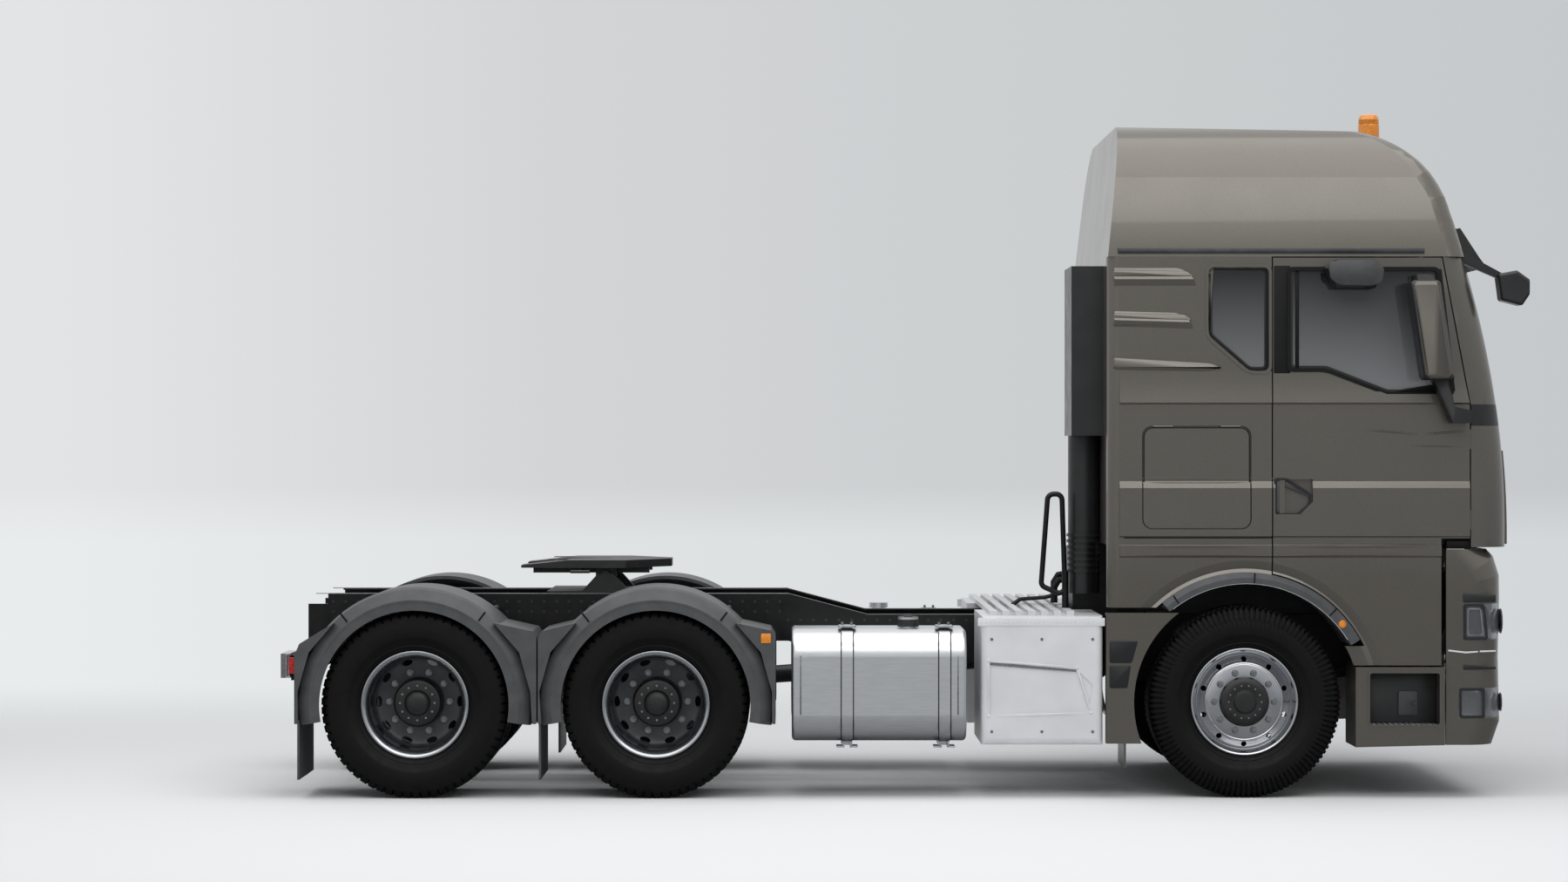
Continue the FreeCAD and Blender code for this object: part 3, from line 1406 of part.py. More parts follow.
head_blocks = lamp_blocks(s.head_lamp_rear, s.head_lamp_inner, s.head_lamp_bottom, s.head_lamp_top)
fog_blocks = lamp_blocks(s.fog_lamp_rear, s.fog_lamp_inner, s.fog_lamp_bottom, s.fog_lamp_top)
grille_pitch = (s.grille_top - s.grille_bottom) / s.grille_bars
slots = []
for index in range(int(SIZES["grille_bars"])):
    slot_low = s.grille_bottom + grille_pitch * index
    slots.append(box(s.bumper_front - s.bumper_wall * 3, s.bumper_front * 2, -s.grille_half, s.grille_half,
                     slot_low, slot_low + grille_pitch - s.grille_bar))
carriers = [box(s.rail_front, s.bumper_front - s.bumper_wall - 20, low_y, low_y + s.rail_flange,
                s.bumper_arm_bottom, s.bumper_arm_top)
            for low_y in (-s.rail_outer, s.rail_outer - s.rail_flange)]
posts = [box(s.bumper_front - s.bumper_wall - 70, s.bumper_front - s.bumper_wall - 20, low_y,
             low_y + s.rail_flange, s.bumper_arm_bottom - 260, s.bumper_notch_bottom - 60)
         for low_y in (-s.rail_outer, s.rail_outer - s.rail_flange)]
bar_front = box(s.bumper_front - s.bumper_wall - 20, s.bumper_front - s.bumper_wall / 2, -s.grille_half - 60,
                s.grille_half + 60, s.grille_top + 10, s.grille_top + 70)
bumper = cut(fuse(bumper_shell, bar_front), notch, *head_blocks, *fog_blocks, *slots)
node("bumper", fuse(bumper, *carriers, *posts))
front_lamps = [common(bumper_shell, item) for item in
               lamp_blocks(s.head_lamp_rear, s.head_lamp_inner, s.head_lamp_bottom, s.head_lamp_top)
               + lamp_blocks(s.fog_lamp_rear, s.fog_lamp_inner, s.fog_lamp_bottom, s.fog_lamp_top)]

# Tilt brackets: plates on the rails' outer webs that rise to the cab's pivot.
tilt_plate = side_pad([
    (s.rail_front - 260, rail_low_front + 40), (s.rail_front, rail_low_front + 40),
    (s.tilt_x + s.tilt_boss - 4, s.tilt_z - 40), (s.tilt_x + s.tilt_boss - 4, s.tilt_z),
    (s.tilt_x - s.tilt_boss, s.tilt_z), (s.rail_front - 260, s.rail_front_top - 30),
], -s.tilt_bracket_outer, -s.tilt_bracket_inner)
tilt_foot = box(s.rail_front - 260, s.rail_front - 20, -s.tilt_bracket_inner, -s.rail_outer, rail_low_front + 60,
                s.rail_front_top - 40)
tilt_eye = rod("Y", s.tilt_x, -s.tilt_bracket_outer, s.tilt_z, s.tilt_boss,
               s.tilt_bracket_outer - s.tilt_bracket_inner)
tilt_hole = rod("Y", s.tilt_x, -s.tilt_bracket_outer - 5, s.tilt_z, s.tilt_pin + s.running_clearance,
                s.tilt_bracket_outer - s.tilt_bracket_inner + 10)
tilt_bracket = cut(fuse(tilt_plate, tilt_foot, tilt_eye), tilt_hole)
node("frame_crossmembers", group(*members, tilt_bracket, mirror(tilt_bracket)))

# Entry steps: a box below each door with an open recess, a tread above it and a bracket to the rail.
step_box = side_pad([
    (s.step_rear, s.step_top), (s.step_rear, s.step_bottom), (s.step_front, s.step_bottom + 12),
    (s.step_front, s.step_top),
], -s.step_half, -s.step_inner)
recess = box(s.step_recess_rear, s.step_front - 25, -s.step_half - 10, -s.step_inner - s.step_wall,
             s.step_recess_bottom, s.step_recess_top)
step_bracket = box(s.step_recess_rear, s.step_recess_rear + 120, -s.step_inner, -s.rail_outer,
                   s.step_top - 70, s.step_top)
riser = box(s.step_recess_rear, s.step_front - 60, -s.upper_step_inner, -s.upper_step_inner + 24, s.step_recess_top,
            s.upper_step)
tread = box(s.step_recess_rear, s.step_front - 60, -s.upper_step_outer, -s.upper_step_inner + 24, s.upper_step - 30,
            s.upper_step)
steps = fuse(cut(step_box, recess), step_bracket, riser, tread)
node("entry_steps", both(steps))


# Rear fenders: a rounded shell turned over each twin wheel, with two stays and a mud flap behind it.
def fender():
    wall = s.fender_wall
    crown = s.fender_radius
    shell_turn = turned([
        (crown - wall, -s.fender_inner), (crown - wall, -s.fender_shoulder),
        (s.fender_lip_radius + 45, -s.fender_half + s.fender_lip), (s.fender_lip_radius, -s.fender_half + s.fender_lip),
        (s.fender_lip_radius, -s.fender_half), (s.fender_lip_radius + 55, -s.fender_half),
        (crown - 12, -s.fender_shoulder - 40), (crown, -s.fender_shoulder), (crown, -s.fender_inner),
    ], s.fender_leg * 2 + 180)
    shell_turn.Placement.Rotation = FreeCAD.Rotation(FreeCAD.Vector(0, 1, 0), number(s.fender_leg))
    parts = [shell_turn]
    middle = crown - wall / 2
    for angle in (number(s.stay_angle), 180 - number(s.stay_angle)):
        x = middle * math.cos(math.radians(angle))
        z = middle * math.sin(math.radians(angle))
        parts.append(rod("Y", x, -s.fender_inner - 40, z, s.stay_radius, s.fender_inner + 40 - s.rail_outer))
    return fuse(*parts)


fenders = []
for place, axle in rear_axles.items():
    sheet_x = -s.fender_radius + 4
    flap_sheet = box(sheet_x, sheet_x + s.flap_sheet, -s.fender_half + 30, -s.fender_inner - 10,
                     s.mud_flap_bottom - s.rear_tyre_radius, s.mud_flap_top - s.rear_tyre_radius)
    item = fuse(fender(), flap_sheet)
    fenders.append(move(item, axle, 0, s.rear_tyre_radius))
node("rear_fenders", both(*fenders))

# Tail: a cross bar on two brackets from the rails' ends, with a lamp at each side.
tail_bar = box(s.tail_bar_rear, s.tail_bar_front, -s.tail_bar_half, s.tail_bar_half, s.tail_bar_bottom,
               s.tail_bar_top)
tail_arms = [box(s.tail_bar_front - 5, s.rail_rear, low_y, low_y + s.tail_bracket, s.tail_bar_top - 90, s.rail_rear_top - 60)
             for low_y in (-s.rail_outer, s.rail_outer - s.tail_bracket)]
tail_posts = [box(s.tail_bar_rear, s.tail_bar_front, low_y, low_y + s.tail_bracket, s.tail_bar_top - 90, s.rail_rear_top - 60)
              for low_y in (-s.rail_outer, s.rail_outer - s.tail_bracket)]
node("tail_bar", fuse(tail_bar, *tail_arms, *tail_posts))
tail_lamp = box(s.tail_bar_rear - s.tail_lamp_depth, s.tail_bar_rear, -s.tail_lamp_outer, -s.tail_lamp_inner,
                s.tail_lamp_bottom, s.tail_lamp_top)
node("lamps", group(*front_lamps, tail_lamp, mirror(tail_lamp)))


# Tanks: a rounded section along the rail, with a cap, two straps and two brackets to the rail's web.
def tank_section(grow):
    return [
        (-s.tank_outer - grow, s.tank_bottom - grow), (-s.tank_inner + grow, s.tank_bottom - grow),
        (-s.tank_inner + grow, s.tank_top + grow), (-s.tank_outer - grow, s.tank_top + grow),
    ]


def tank_form(grow, start, end):
    body = front_pad(tank_section(grow), start, end)
    low = number(start) + 1
    high = number(end) - 1
    return soften(body, s.tank_corner + grow, lambda spot: low < spot.x < high)


def tank(cap_x):
    shell_form = tank_form(s.tank_strap * 0, s.tank_rear, s.tank_front)
    ends = (number(s.tank_rear), number(s.tank_front))
    soften(shell_form, s.tank_edge, lambda spot: min(abs(spot.x - end) for end in ends) < 0.5)
    neck = rod("Z", cap_x, -s.tank_outer + s.tank_cap_offset + s.tank_corner, s.tank_top - 20,
               s.tank_cap_radius - 14, 20 + s.tank_cap_height / 2)
    cap = rod("Z", cap_x, -s.tank_outer + s.tank_cap_offset + s.tank_corner,
              s.tank_top + s.tank_cap_height / 2, s.tank_cap_radius, s.tank_cap_height / 2)
    return fuse(shell_form, neck, cap)


node("fuel_tanks", group(tank(s.tank_cap), mirror(tank(s.left_tank_cap))))


def strap(x):
    """One band round the tank, with the L-shaped bracket that it hangs on."""
    end = x + s.tank_strap
    grip = s.running_clearance
    band = cut(tank_form(s.strap_wall + grip, x, end), tank_form(grip, x - 5, end + 5))
    upright = box(x, end, -s.tank_inner + grip, -s.rail_outer, s.bracket_foot, s.bracket_top)
    web_gap = cut(upright, box(x + s.strap_wall, end - s.strap_wall, -s.tank_inner + grip + s.strap_wall * 2,
                               -s.rail_outer + 5, s.bracket_foot - 5, s.bracket_top - 30))
    foot = box(x, end, -s.tank_outer + s.tank_corner, -s.tank_inner + grip + s.strap_wall * 2, s.bracket_foot,
               s.tank_bottom - grip)
    return fuse(band, web_gap, foot)


right_straps = group(strap(s.tank_strap_rear), strap(s.tank_strap_front))
node("tank_straps", both(right_straps))

# Silencer box on the right and battery box on the left, closed and bolted to the rail.
side_box = front_pad([
    (-s.box_outer, s.box_bottom), (-s.rail_outer, s.box_bottom), (-s.rail_outer, s.box_top), (-s.box_outer, s.box_top),
], s.box_rear, s.box_front)
box_skin = number(-s.box_outer) + 0.5
soften(side_box, s.box_corner, lambda spot: spot.y < box_skin)
box_panel = side_pad([
    (s.panel_rear, s.panel_bottom), (s.panel_front - s.panel_taper / 3, s.panel_bottom + s.panel_taper / 3),
    (s.panel_front, s.panel_top - s.panel_taper * 2), (s.panel_front - s.panel_taper, s.panel_top - s.panel_taper),
    (s.panel_rear, s.panel_top),
], -outside, -s.box_outer + s.panel_depth)
node("side_boxes", both(cut(side_box, box_panel)))

slats = []
for index in range(int(SIZES["slat_count"])):
    x = s.slat_first + s.slat_pitch * index
    slats.append(box(x, x + s.slat_width, -s.slat_half, s.slat_half, s.box_top, s.box_top + s.slat_height))
runners = [box(s.slat_first, s.slat_first + s.slat_pitch * 6 + s.slat_width, y, y + 30, s.box_top,
               s.box_top + s.slat_height / 2) for y in (-s.slat_half + 60, s.slat_half - 90)]
node("catwalk", fuse(*slats, *runners))

# Grab loop: a bent tube on a post that stands on one of the slats.
def rounded(corners, radius):
    """The corners of an anticlockwise outline as arcs of one radius, for draw."""
    points = []
    spots = [FreeCAD.Vector(number(x), number(z), 0) for x, z in corners]
    for index, (x, z) in enumerate(corners):
        back = (spots[index - 1] - spots[index]).normalize()
        ahead = (spots[(index + 1) % len(spots)] - spots[index]).normalize()
        reach = 1 / math.tan(back.getAngle(ahead) / 2)
        points.append((x + radius * (reach * back.x), z + radius * (reach * back.y), -radius))
        points.append((x + radius * (reach * ahead.x), z + radius * (reach * ahead.y)))
    return points


loop_x = s.slat_first + s.slat_pitch * s.loop_slat + s.slat_width / 2
loop_corners = [
    (loop_x - s.loop_width_low, s.loop_low_rear), (loop_x, s.loop_low_front), (loop_x - s.loop_lean, s.loop_top),
    (loop_x - s.loop_lean - s.loop_width_top, s.loop_top),
]
leg_start = (loop_corners[3][0] + loop_corners[0][0]) / 2
leg_height = (s.loop_top + s.loop_low_rear) / 2
tube, route = body_with_sketch("XZ_Plane", [[(leg_start, leg_height), *rounded(loop_corners, s.loop_bend)]])
section = tube.newObject("Sketcher::SketchObject", "Section")
section.AttachmentSupport = [([item for item in tube.Origin.OriginFeatures if item.Role == "XY_Plane"][0], "")]
section.MapMode = "FlatFace"
section.setExpression("AttachmentOffset.Base.z", leg_height.text)
section.addGeometry(Part.Circle(FreeCAD.Vector(number(leg_start), 0, 0), FreeCAD.Vector(0, 0, 1), number(s.loop_radius)))
for kind, value in (("DistanceX", leg_start), ("DistanceY", 0)):
    tie(section, section.addConstraint(Sketcher.Constraint(kind, -1, 1, 0, 3, number(value))), value)
tie(section, section.addConstraint(Sketcher.Constraint("Radius", 0, number(s.loop_radius))), s.loop_radius)
pipe = tube.newObject("PartDesign::AdditivePipe", "Tube")
pipe.Profile = section
pipe.Spine = route
move(tube, 0, -s.loop_y)
slat_top = s.box_top + s.slat_height
loop_post = rod("Z", loop_x, -s.loop_y, slat_top, s.loop_post_radius, s.loop_post_top - slat_top)
loop_foot = rod("Z", loop_x, -s.loop_y, slat_top, s.loop_foot_radius, s.loop_foot)
node("grab_loop", fuse(tube, loop_post, loop_foot))

# Guards behind the front wheels: an outer panel and a liner round the tyre, on a bracket from the rail.
guard_block = side_pad([
    (s.guard_rear, s.guard_bottom), (0, s.guard_bottom), (0, s.guard_top), (s.guard_rear, s.guard_top),
], -s.guard_half, -s.guard_skin)
guard_cut = rod("Y", 0, -outside, hub_height, s.guard_radius, outside)
liner_ring = cut(rod("Y", 0, -s.guard_skin, hub_height, s.guard_radius + s.guard_liner, s.guard_skin - s.guard_liner_inner),
                 rod("Y", 0, -s.guard_skin - 5, hub_height, s.guard_radius, s.guard_skin))
liner = common(liner_ring, box(s.guard_rear, -s.guard_radius / 2, -outside, 0, s.guard_bottom, s.guard_top - 60))
guard_arm = box(s.guard_rear + 60, -s.guard_radius + 100, -s.guard_liner_inner - 40, -s.rail_outer,
                s.rail_front_top - 160, s.rail_front_top - 110)
guard_arm_cut = cut(guard_arm, rod("Y", 0, -outside, hub_height, s.guard_radius, outside))
guard_flap = box(s.guard_rear + 100, s.guard_rear + 112, -s.guard_half + 20, -s.guard_liner_inner, s.guard_bottom - 135,
                 s.guard_bottom + 10)
node("front_guards", both(fuse(cut(guard_block, guard_cut), liner, guard_arm_cut, guard_flap)))

# Fifth wheel: a base on the rails with two posts and pins, and a tilting plate with a throat and closed jaws.
sub_plate = box(s.sub_plate_rear, s.sub_plate_front, -s.rail_outer, s.rail_outer, s.rail_rear_top,
                s.rail_rear_top + s.sub_plate)
post_line = [
    (s.coupling_x - 150, s.rail_rear_top), (s.coupling_x + 150, s.rail_rear_top),
    (s.coupling_x + 45, s.coupling_pivot + 8), (s.coupling_x - 45, s.coupling_pivot + 8),
]
base_parts = [sub_plate]
for sign in (-1, 1):
    low_y = -s.coupling_post_outer if sign < 0 else s.coupling_ear_outer + 4
    high_y = -s.coupling_ear_outer - 4 if sign < 0 else s.coupling_post_outer
    base_parts.append(side_pad(post_line, low_y, high_y))
    pin_low = low_y if sign < 0 else s.coupling_ear_inner
    base_parts.append(rod("Y", s.coupling_x, pin_low, s.coupling_pivot, s.coupling_pin,
                          s.coupling_post_outer - s.coupling_ear_inner))
node("fifth_wheel_base", fuse(*base_parts))

plate_line = [
    (s.coupling_tail, -s.coupling_half + 40), (s.coupling_ramp, -s.coupling_half), (s.coupling_x + 120, -s.coupling_half),
    (s.coupling_front, -110), (s.coupling_front, 110), (s.coupling_x + 120, s.coupling_half),
    (s.coupling_ramp, s.coupling_half), (s.coupling_tail, s.coupling_half - 40),
]
plate_top = plan_pad(plate_line, s.coupling_top - s.coupling_plate, s.coupling_top)
throat = plan_pad([
    (s.coupling_tail - 10, -s.coupling_mouth_half), (s.coupling_x - 60, -s.kingpin_bore),
    (s.coupling_x, -s.kingpin_bore), (s.coupling_x, s.kingpin_bore), (s.coupling_x - 60, s.kingpin_bore),
    (s.coupling_tail - 10, s.coupling_mouth_half),
], s.coupling_top - s.coupling_plate * 3, s.coupling_top + 10)
ramp_cut = side_pad([
    (s.coupling_tail - 10, s.coupling_tail_top), (s.coupling_ramp, s.coupling_top), (s.coupling_ramp, s.coupling_top + 30),
    (s.coupling_tail - 10, s.coupling_top + 30),
], -outside, outside)
jaws = rod("Z", s.coupling_x, 0, s.coupling_top - s.coupling_plate - 40, s.jaw_radius, s.coupling_plate + 34)
bore = rod("Z", s.coupling_x, 0, s.coupling_top - s.coupling_plate * 3, s.kingpin_bore, s.coupling_plate * 4)
ribs = [box(s.coupling_tail + 60, s.coupling_x + 250, y, y + 22, s.coupling_top - s.coupling_plate - 34,
            s.coupling_top - s.coupling_plate + 2) for y in (-s.coupling_mouth_half - 62, s.coupling_mouth_half + 40)]
ears = [box(s.coupling_x - s.coupling_ear_half, s.coupling_x + s.coupling_ear_half, y,
            y + (s.coupling_ear_outer - s.coupling_ear_inner), s.coupling_pivot - 20,
            s.coupling_top - s.coupling_plate + 2) for y in (-s.coupling_ear_outer, s.coupling_ear_inner)]
ear_rounds = [rod("Y", s.coupling_x, y, s.coupling_pivot, s.coupling_pin + 25, s.coupling_ear_outer - s.coupling_ear_inner)
              for y in (-s.coupling_ear_outer, s.coupling_ear_inner)]
pin_hole = rod("Y", s.coupling_x, -s.coupling_ear_outer - 2, s.coupling_pivot, s.coupling_pin + s.running_clearance,
               s.coupling_ear_outer * 2 + 4)
pull_z = s.coupling_top - s.coupling_plate - s.pull_radius * 2
pull = rod("Y", s.coupling_x - s.pull_offset, -s.pull_end, pull_z, s.pull_radius, s.pull_end - s.coupling_mouth_half - 50)
pull_grip = rod("X", s.coupling_x - s.pull_offset - s.pull_grip / 2, -s.pull_end, pull_z, s.pull_radius, s.pull_grip)
plate = cut(fuse(cut(plate_top, throat), jaws, pull, pull_grip, *ribs, *ears, *ear_rounds), ramp_cut, bore, pin_hole)
node("fifth_wheel_plate", plate)

# Mirrors on the doors: a slanted housing between a foot and a top bracket, and a round ramp mirror.
housing = side_pad([
    (s.mirror_bottom_rear, s.mirror_bottom), (s.mirror_bottom_front, s.mirror_bottom),
    (s.mirror_top_front, s.mirror_top), (s.mirror_top_rear, s.mirror_top),
], -s.mirror_outer, -s.mirror_inner)
soften(housing, s.mirror_edge, lambda spot: True)
skin_clear = -s.cab_half - s.seal_clearance
belt_clear = skin_clear - s.belt_depth
foot = side_pad([
    (s.mirror_bottom_rear + 60, s.mirror_bottom + 40), (s.mirror_bottom_front + 10, s.mirror_foot_bottom),
    (s.mirror_foot_front, s.mirror_foot_bottom), (s.mirror_foot_front, s.mirror_foot_bottom + 70),
    (s.mirror_bottom_front + 20, s.mirror_foot_bottom + 90), (s.mirror_bottom_front - 20, s.mirror_bottom + 40),
], -s.mirror_inner - 60, belt_clear)
top_bracket = box(s.mirror_top_front - 110, s.mirror_top_front - 20, -s.mirror_inner - 90, skin_clear,
                  s.mirror_top - 10, s.mirror_top - 10 + s.mirror_arm_height)
ramp = side_pad([
    (s.ramp_rear, ramp_top - 50), (s.ramp_rear + 50, ramp_bottom), (s.ramp_front - 50, ramp_bottom),
    (s.ramp_front, ramp_top - 50), (s.ramp_front - 60, ramp_top), (s.ramp_rear + 60, ramp_top),
], -s.ramp_outer, skin_clear)
ramp_skin = number(-s.ramp_outer) + 0.5
soften(ramp, s.ramp_edge, lambda spot: spot.y < ramp_skin)
pair("door_mirrors", group(fuse(housing, foot, top_bracket), ramp))

# Front mirror on the right-hand brow, and the sun visor over the windscreen, both seated on the skin.
outer_roof = rounded_roof(s.roof_wall * 0, roof_skirt)
outer_cab = cab_form(s.cab_wall * 0, s.cab_wall)
mirror_head = side_pad([
    (s.front_mirror_rear, s.front_mirror_top - 20), (s.front_mirror_rear + 20, s.front_mirror_bottom + 30),
    (s.front_mirror_tip - 40, s.front_mirror_bottom), (s.front_mirror_tip, s.front_mirror_bottom + 60),
    (s.front_mirror_tip, s.front_mirror_top - 50), (s.front_mirror_tip - 70, s.front_mirror_top),
], -s.front_mirror_y - s.front_mirror_half, -s.front_mirror_y + s.front_mirror_half)
tip_plane = number(s.front_mirror_tip) - 1
soften(mirror_head, s.front_mirror_half / 4, lambda spot: spot.x < tip_plane)
mirror_arm = side_pad([
    (s.door_top_front, split + 30), (s.front_mirror_rear + 40, s.front_mirror_top - 60),
    (s.front_mirror_rear + 40, s.front_mirror_top - 60 + s.front_mirror_arm),
    (s.door_top_front, split + 30 + s.front_mirror_arm * 2),
], -s.front_mirror_y - s.front_mirror_arm / 2, -s.front_mirror_y + s.front_mirror_arm / 2)
node("front_mirror", cut(fuse(mirror_head, mirror_arm), outer_roof, outer_cab))

visor_sheet = side_pad([
    (s.visor_rear, visor_top), (s.visor_front, visor_bottom), (s.visor_front + s.visor_wall, visor_bottom + 4),
    (s.visor_rear + s.visor_wall, visor_top + 4),
], -s.visor_half, s.visor_half)
visor_stays = [side_pad([
    (s.roof_brow, visor_bottom + 60), (s.visor_front, visor_bottom + 10), (s.visor_front, visor_bottom + 30),
    (s.visor_rear, visor_top), (s.roof_brow, visor_top),
], y, y + s.visor_wall * 2) for y in (-s.visor_half, -s.visor_wall, s.visor_half - s.visor_wall * 2)]
node("sun_visor", cut(fuse(visor_sheet, *visor_stays), outer_roof, outer_cab))

beacon_base_top = roof_front + s.beacon_base_rise
beacon_foot = rod("Z", s.beacon_x, -s.beacon_y, roof_front - s.beacon_foot_depth, s.beacon_base,
                  s.beacon_foot_depth + s.beacon_base_rise)
beacon_dome = rod("Z", s.beacon_x, -s.beacon_y, beacon_base_top, s.beacon_radius, s.beacon_dome_height)
node("beacon", cut(fuse(beacon_foot, beacon_dome), outer_roof))

# Cab interior: two seats, a bunk on legs, and a dashboard with the steering wheel.
def seat():
    low = -s.seat_y - s.seat_half
    high = -s.seat_y + s.seat_half
    base = box(s.seat_rear + 80, s.seat_front - 80, low + 60, high - 60, s.floor_top, s.seat_base_top)
    cushion = box(s.seat_rear, s.seat_front, low, high, s.seat_base_top, s.seat_top)
    back = side_pad([
        (s.seat_rear, s.seat_top), (s.seat_rear + s.seat_back_wall, s.seat_top),
        (s.seat_rear + s.seat_back_wall - 90, s.seat_back_top), (s.seat_rear - 90, s.seat_back_top),
    ], low + 20, high - 20)
    return fuse(base, cushion, back)


node("seats", both(seat()))
legs = [box(x, x + s.bunk_leg, y, y + s.bunk_leg, s.floor_top, s.bunk_bottom)
        for x in (side_rear, s.bunk_front - s.bunk_leg) for y in (-s.bunk_half, s.bunk_half - s.bunk_leg)]
deck = box(side_rear, s.bunk_front, -s.bunk_half, s.bunk_half, s.bunk_bottom, s.bunk_deck)
mattress = box(side_rear + 10, s.bunk_front - 10, -s.bunk_half + 10, s.bunk_half - 10, s.bunk_deck, s.bunk_top)
node("bunk", fuse(deck, mattress, *legs))
dash_block = side_pad([
    (s.dash_rear, s.dash_bottom), (s.cab_nose, s.dash_bottom), (s.cab_nose, s.dash_top),
    (s.dash_rear + s.dash_lip, s.dash_top), (s.dash_rear, s.dash_top - s.dash_lip),
], -s.dash_half, s.dash_half)
bulkhead_front = s.cab_belt_front - s.cab_wall * 3
dash_room = box(s.dash_rear - 10, bulkhead_front, -outside, outside, s.dash_bottom - 10, s.dash_top + 10)
dash_post = box(s.dash_rear + 60, s.dash_rear + 200, -s.dash_post_half, s.dash_post_half, s.floor_top, s.dash_bottom + 5)
column = rod("X", s.steering_wheel_x, s.steering_wheel_y, s.steering_wheel_z, s.steering_wheel_rim * 2,
             s.dash_rear - s.steering_wheel_x + 5)
wheel_ring = doc.addObject("Part::Torus", "WheelRing")
bind(wheel_ring, "Radius1", s.steering_wheel_radius)
bind(wheel_ring, "Radius2", s.steering_wheel_rim)
wheel_ring.Placement.Rotation = FreeCAD.Rotation(*AXES["X"])
move(wheel_ring, s.steering_wheel_x, s.steering_wheel_y, s.steering_wheel_z)
spoke = box(s.steering_wheel_x - s.steering_wheel_rim / 2, s.steering_wheel_x + s.steering_wheel_rim / 2,
            s.steering_wheel_y - s.steering_wheel_radius, s.steering_wheel_y + s.steering_wheel_radius,
            s.steering_wheel_z - s.steering_wheel_rim, s.steering_wheel_z + s.steering_wheel_rim)
dash_trimmed = common(dash_block, dash_room)
node("dashboard", fuse(dash_trimmed, dash_post, column, wheel_ring, spoke))

# Air intake: a duct up the back of the cab.
intake = box(s.intake_rear, s.cab_rear, s.intake_y - s.intake_half, s.intake_y + s.intake_half, s.intake_bottom + 900,
             s.intake_top)
intake_pipe = rod("Z", (s.intake_rear + s.cab_rear) / 2, s.intake_y, s.intake_bottom, (s.cab_rear - s.intake_rear) / 2,
                  1000)
pleats = [rod("Z", (s.intake_rear + s.cab_rear) / 2, s.intake_y, s.intake_bottom + s.pleat_start + s.pleat_pitch * index,
              (s.cab_rear - s.intake_rear) / 2 + s.pleat_rise, s.pleat_pitch / 2)
          for index in range(int(SIZES["pleat_count"]))]
pleat_room = box(s.intake_rear * 2, s.cab_rear - s.running_clearance, s.intake_y * 2, 0, 0, s.intake_top)
node("air_intake", fuse(intake, intake_pipe, *[common(item, pleat_room) for item in pleats]))


# Placement, checks and export.
origin_shift = (-s.tail_bar_rear + s.tail_lamp_depth - s.front_mirror_tip) / 2
for name, item in NODES.items():
    if item.TypeId != "Part::Mirroring":
        place = item.Placement.Base.x
        used = [expression for path, expression in item.ExpressionEngine if path.endswith("Placement.Base.x")]
        shift = Size(0, used[0]) + origin_shift if used else origin_shift + place
        item.setExpression("Placement.Base.x", shift.text)
    item.Label = name
doc.recompute()

for item in doc.Objects:
    for problem in ("Invalid", "Error"):
        if problem in item.State:
            raise ValueError(f"{item.Label} ({item.TypeId}) is {problem}")

os.makedirs("parts", exist_ok=True)
for name, item in NODES.items():
    if item.Shape.isNull() or not item.Shape.isValid() or item.Shape.Volume < 1:
        raise ValueError(f"{name} has no sound shape")
    item.Shape.exportStep(f"parts/{name}.step")
print(len(NODES), "nodes; front axle at X =", round(origin_shift.value, 3))
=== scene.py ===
# %% [markdown]
# # A cab-over tractor unit
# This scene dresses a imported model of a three-axle tractor unit. The construction holds the real sizes and the
# joints. The cells below give every surface its finish and add what is too fine for the construction: tread,
# bolts, seals, lamps, pipes and upholstery. Each piece rides on the body that carries it on the real vehicle.

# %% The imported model
import json
import math

import bmesh
import bpy
from mathutils import Matrix, Vector


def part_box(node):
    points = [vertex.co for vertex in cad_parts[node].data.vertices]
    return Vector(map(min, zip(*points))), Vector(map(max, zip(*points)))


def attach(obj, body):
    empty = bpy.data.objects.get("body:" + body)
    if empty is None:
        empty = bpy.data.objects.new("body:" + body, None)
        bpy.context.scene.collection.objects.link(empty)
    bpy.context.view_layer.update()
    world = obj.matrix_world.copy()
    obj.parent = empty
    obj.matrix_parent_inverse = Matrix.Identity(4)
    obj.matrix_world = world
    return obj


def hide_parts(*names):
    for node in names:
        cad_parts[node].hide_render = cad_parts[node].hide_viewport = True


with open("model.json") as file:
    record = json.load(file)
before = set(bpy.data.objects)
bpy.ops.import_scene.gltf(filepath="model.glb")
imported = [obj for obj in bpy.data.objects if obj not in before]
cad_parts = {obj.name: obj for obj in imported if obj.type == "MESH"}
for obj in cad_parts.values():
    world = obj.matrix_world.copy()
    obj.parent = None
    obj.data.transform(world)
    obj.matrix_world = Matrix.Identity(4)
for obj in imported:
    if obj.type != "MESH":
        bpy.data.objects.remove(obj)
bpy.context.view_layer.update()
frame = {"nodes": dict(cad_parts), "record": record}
nodes = frame["nodes"]

# %% [markdown]
# The photograph is a level side view from the vehicle's right, taken from far away with a long lens. A camera 21 m
# from the near side keeps the far wheels nearly hidden behind the near ones, as they are there.

# %% Camera
PHOTO_WIDTH = 1800
FOCAL_PIXELS = 4315
CAMERA_PLACE = (-0.689, -22.25, 2.0)

lens = bpy.data.cameras.new("side_view")
lens.sensor_width = 36
lens.lens = lens.sensor_width * FOCAL_PIXELS / PHOTO_WIDTH
lens.clip_end = 200
camera = bpy.data.objects.new("side_view", lens)
bpy.context.scene.collection.objects.link(camera)
camera.location = CAMERA_PLACE
camera.rotation_euler = (math.radians(90), 0, 0)
bpy.context.scene.camera = camera
bpy.context.scene.view_settings.view_transform = "Standard"

# %% [markdown]
# Every finish is a small node tree. One function adds a node with its settings and links, and one turns an sRGB
# hex value, as a paint chart gives it, into the linear colour that the shader works in.


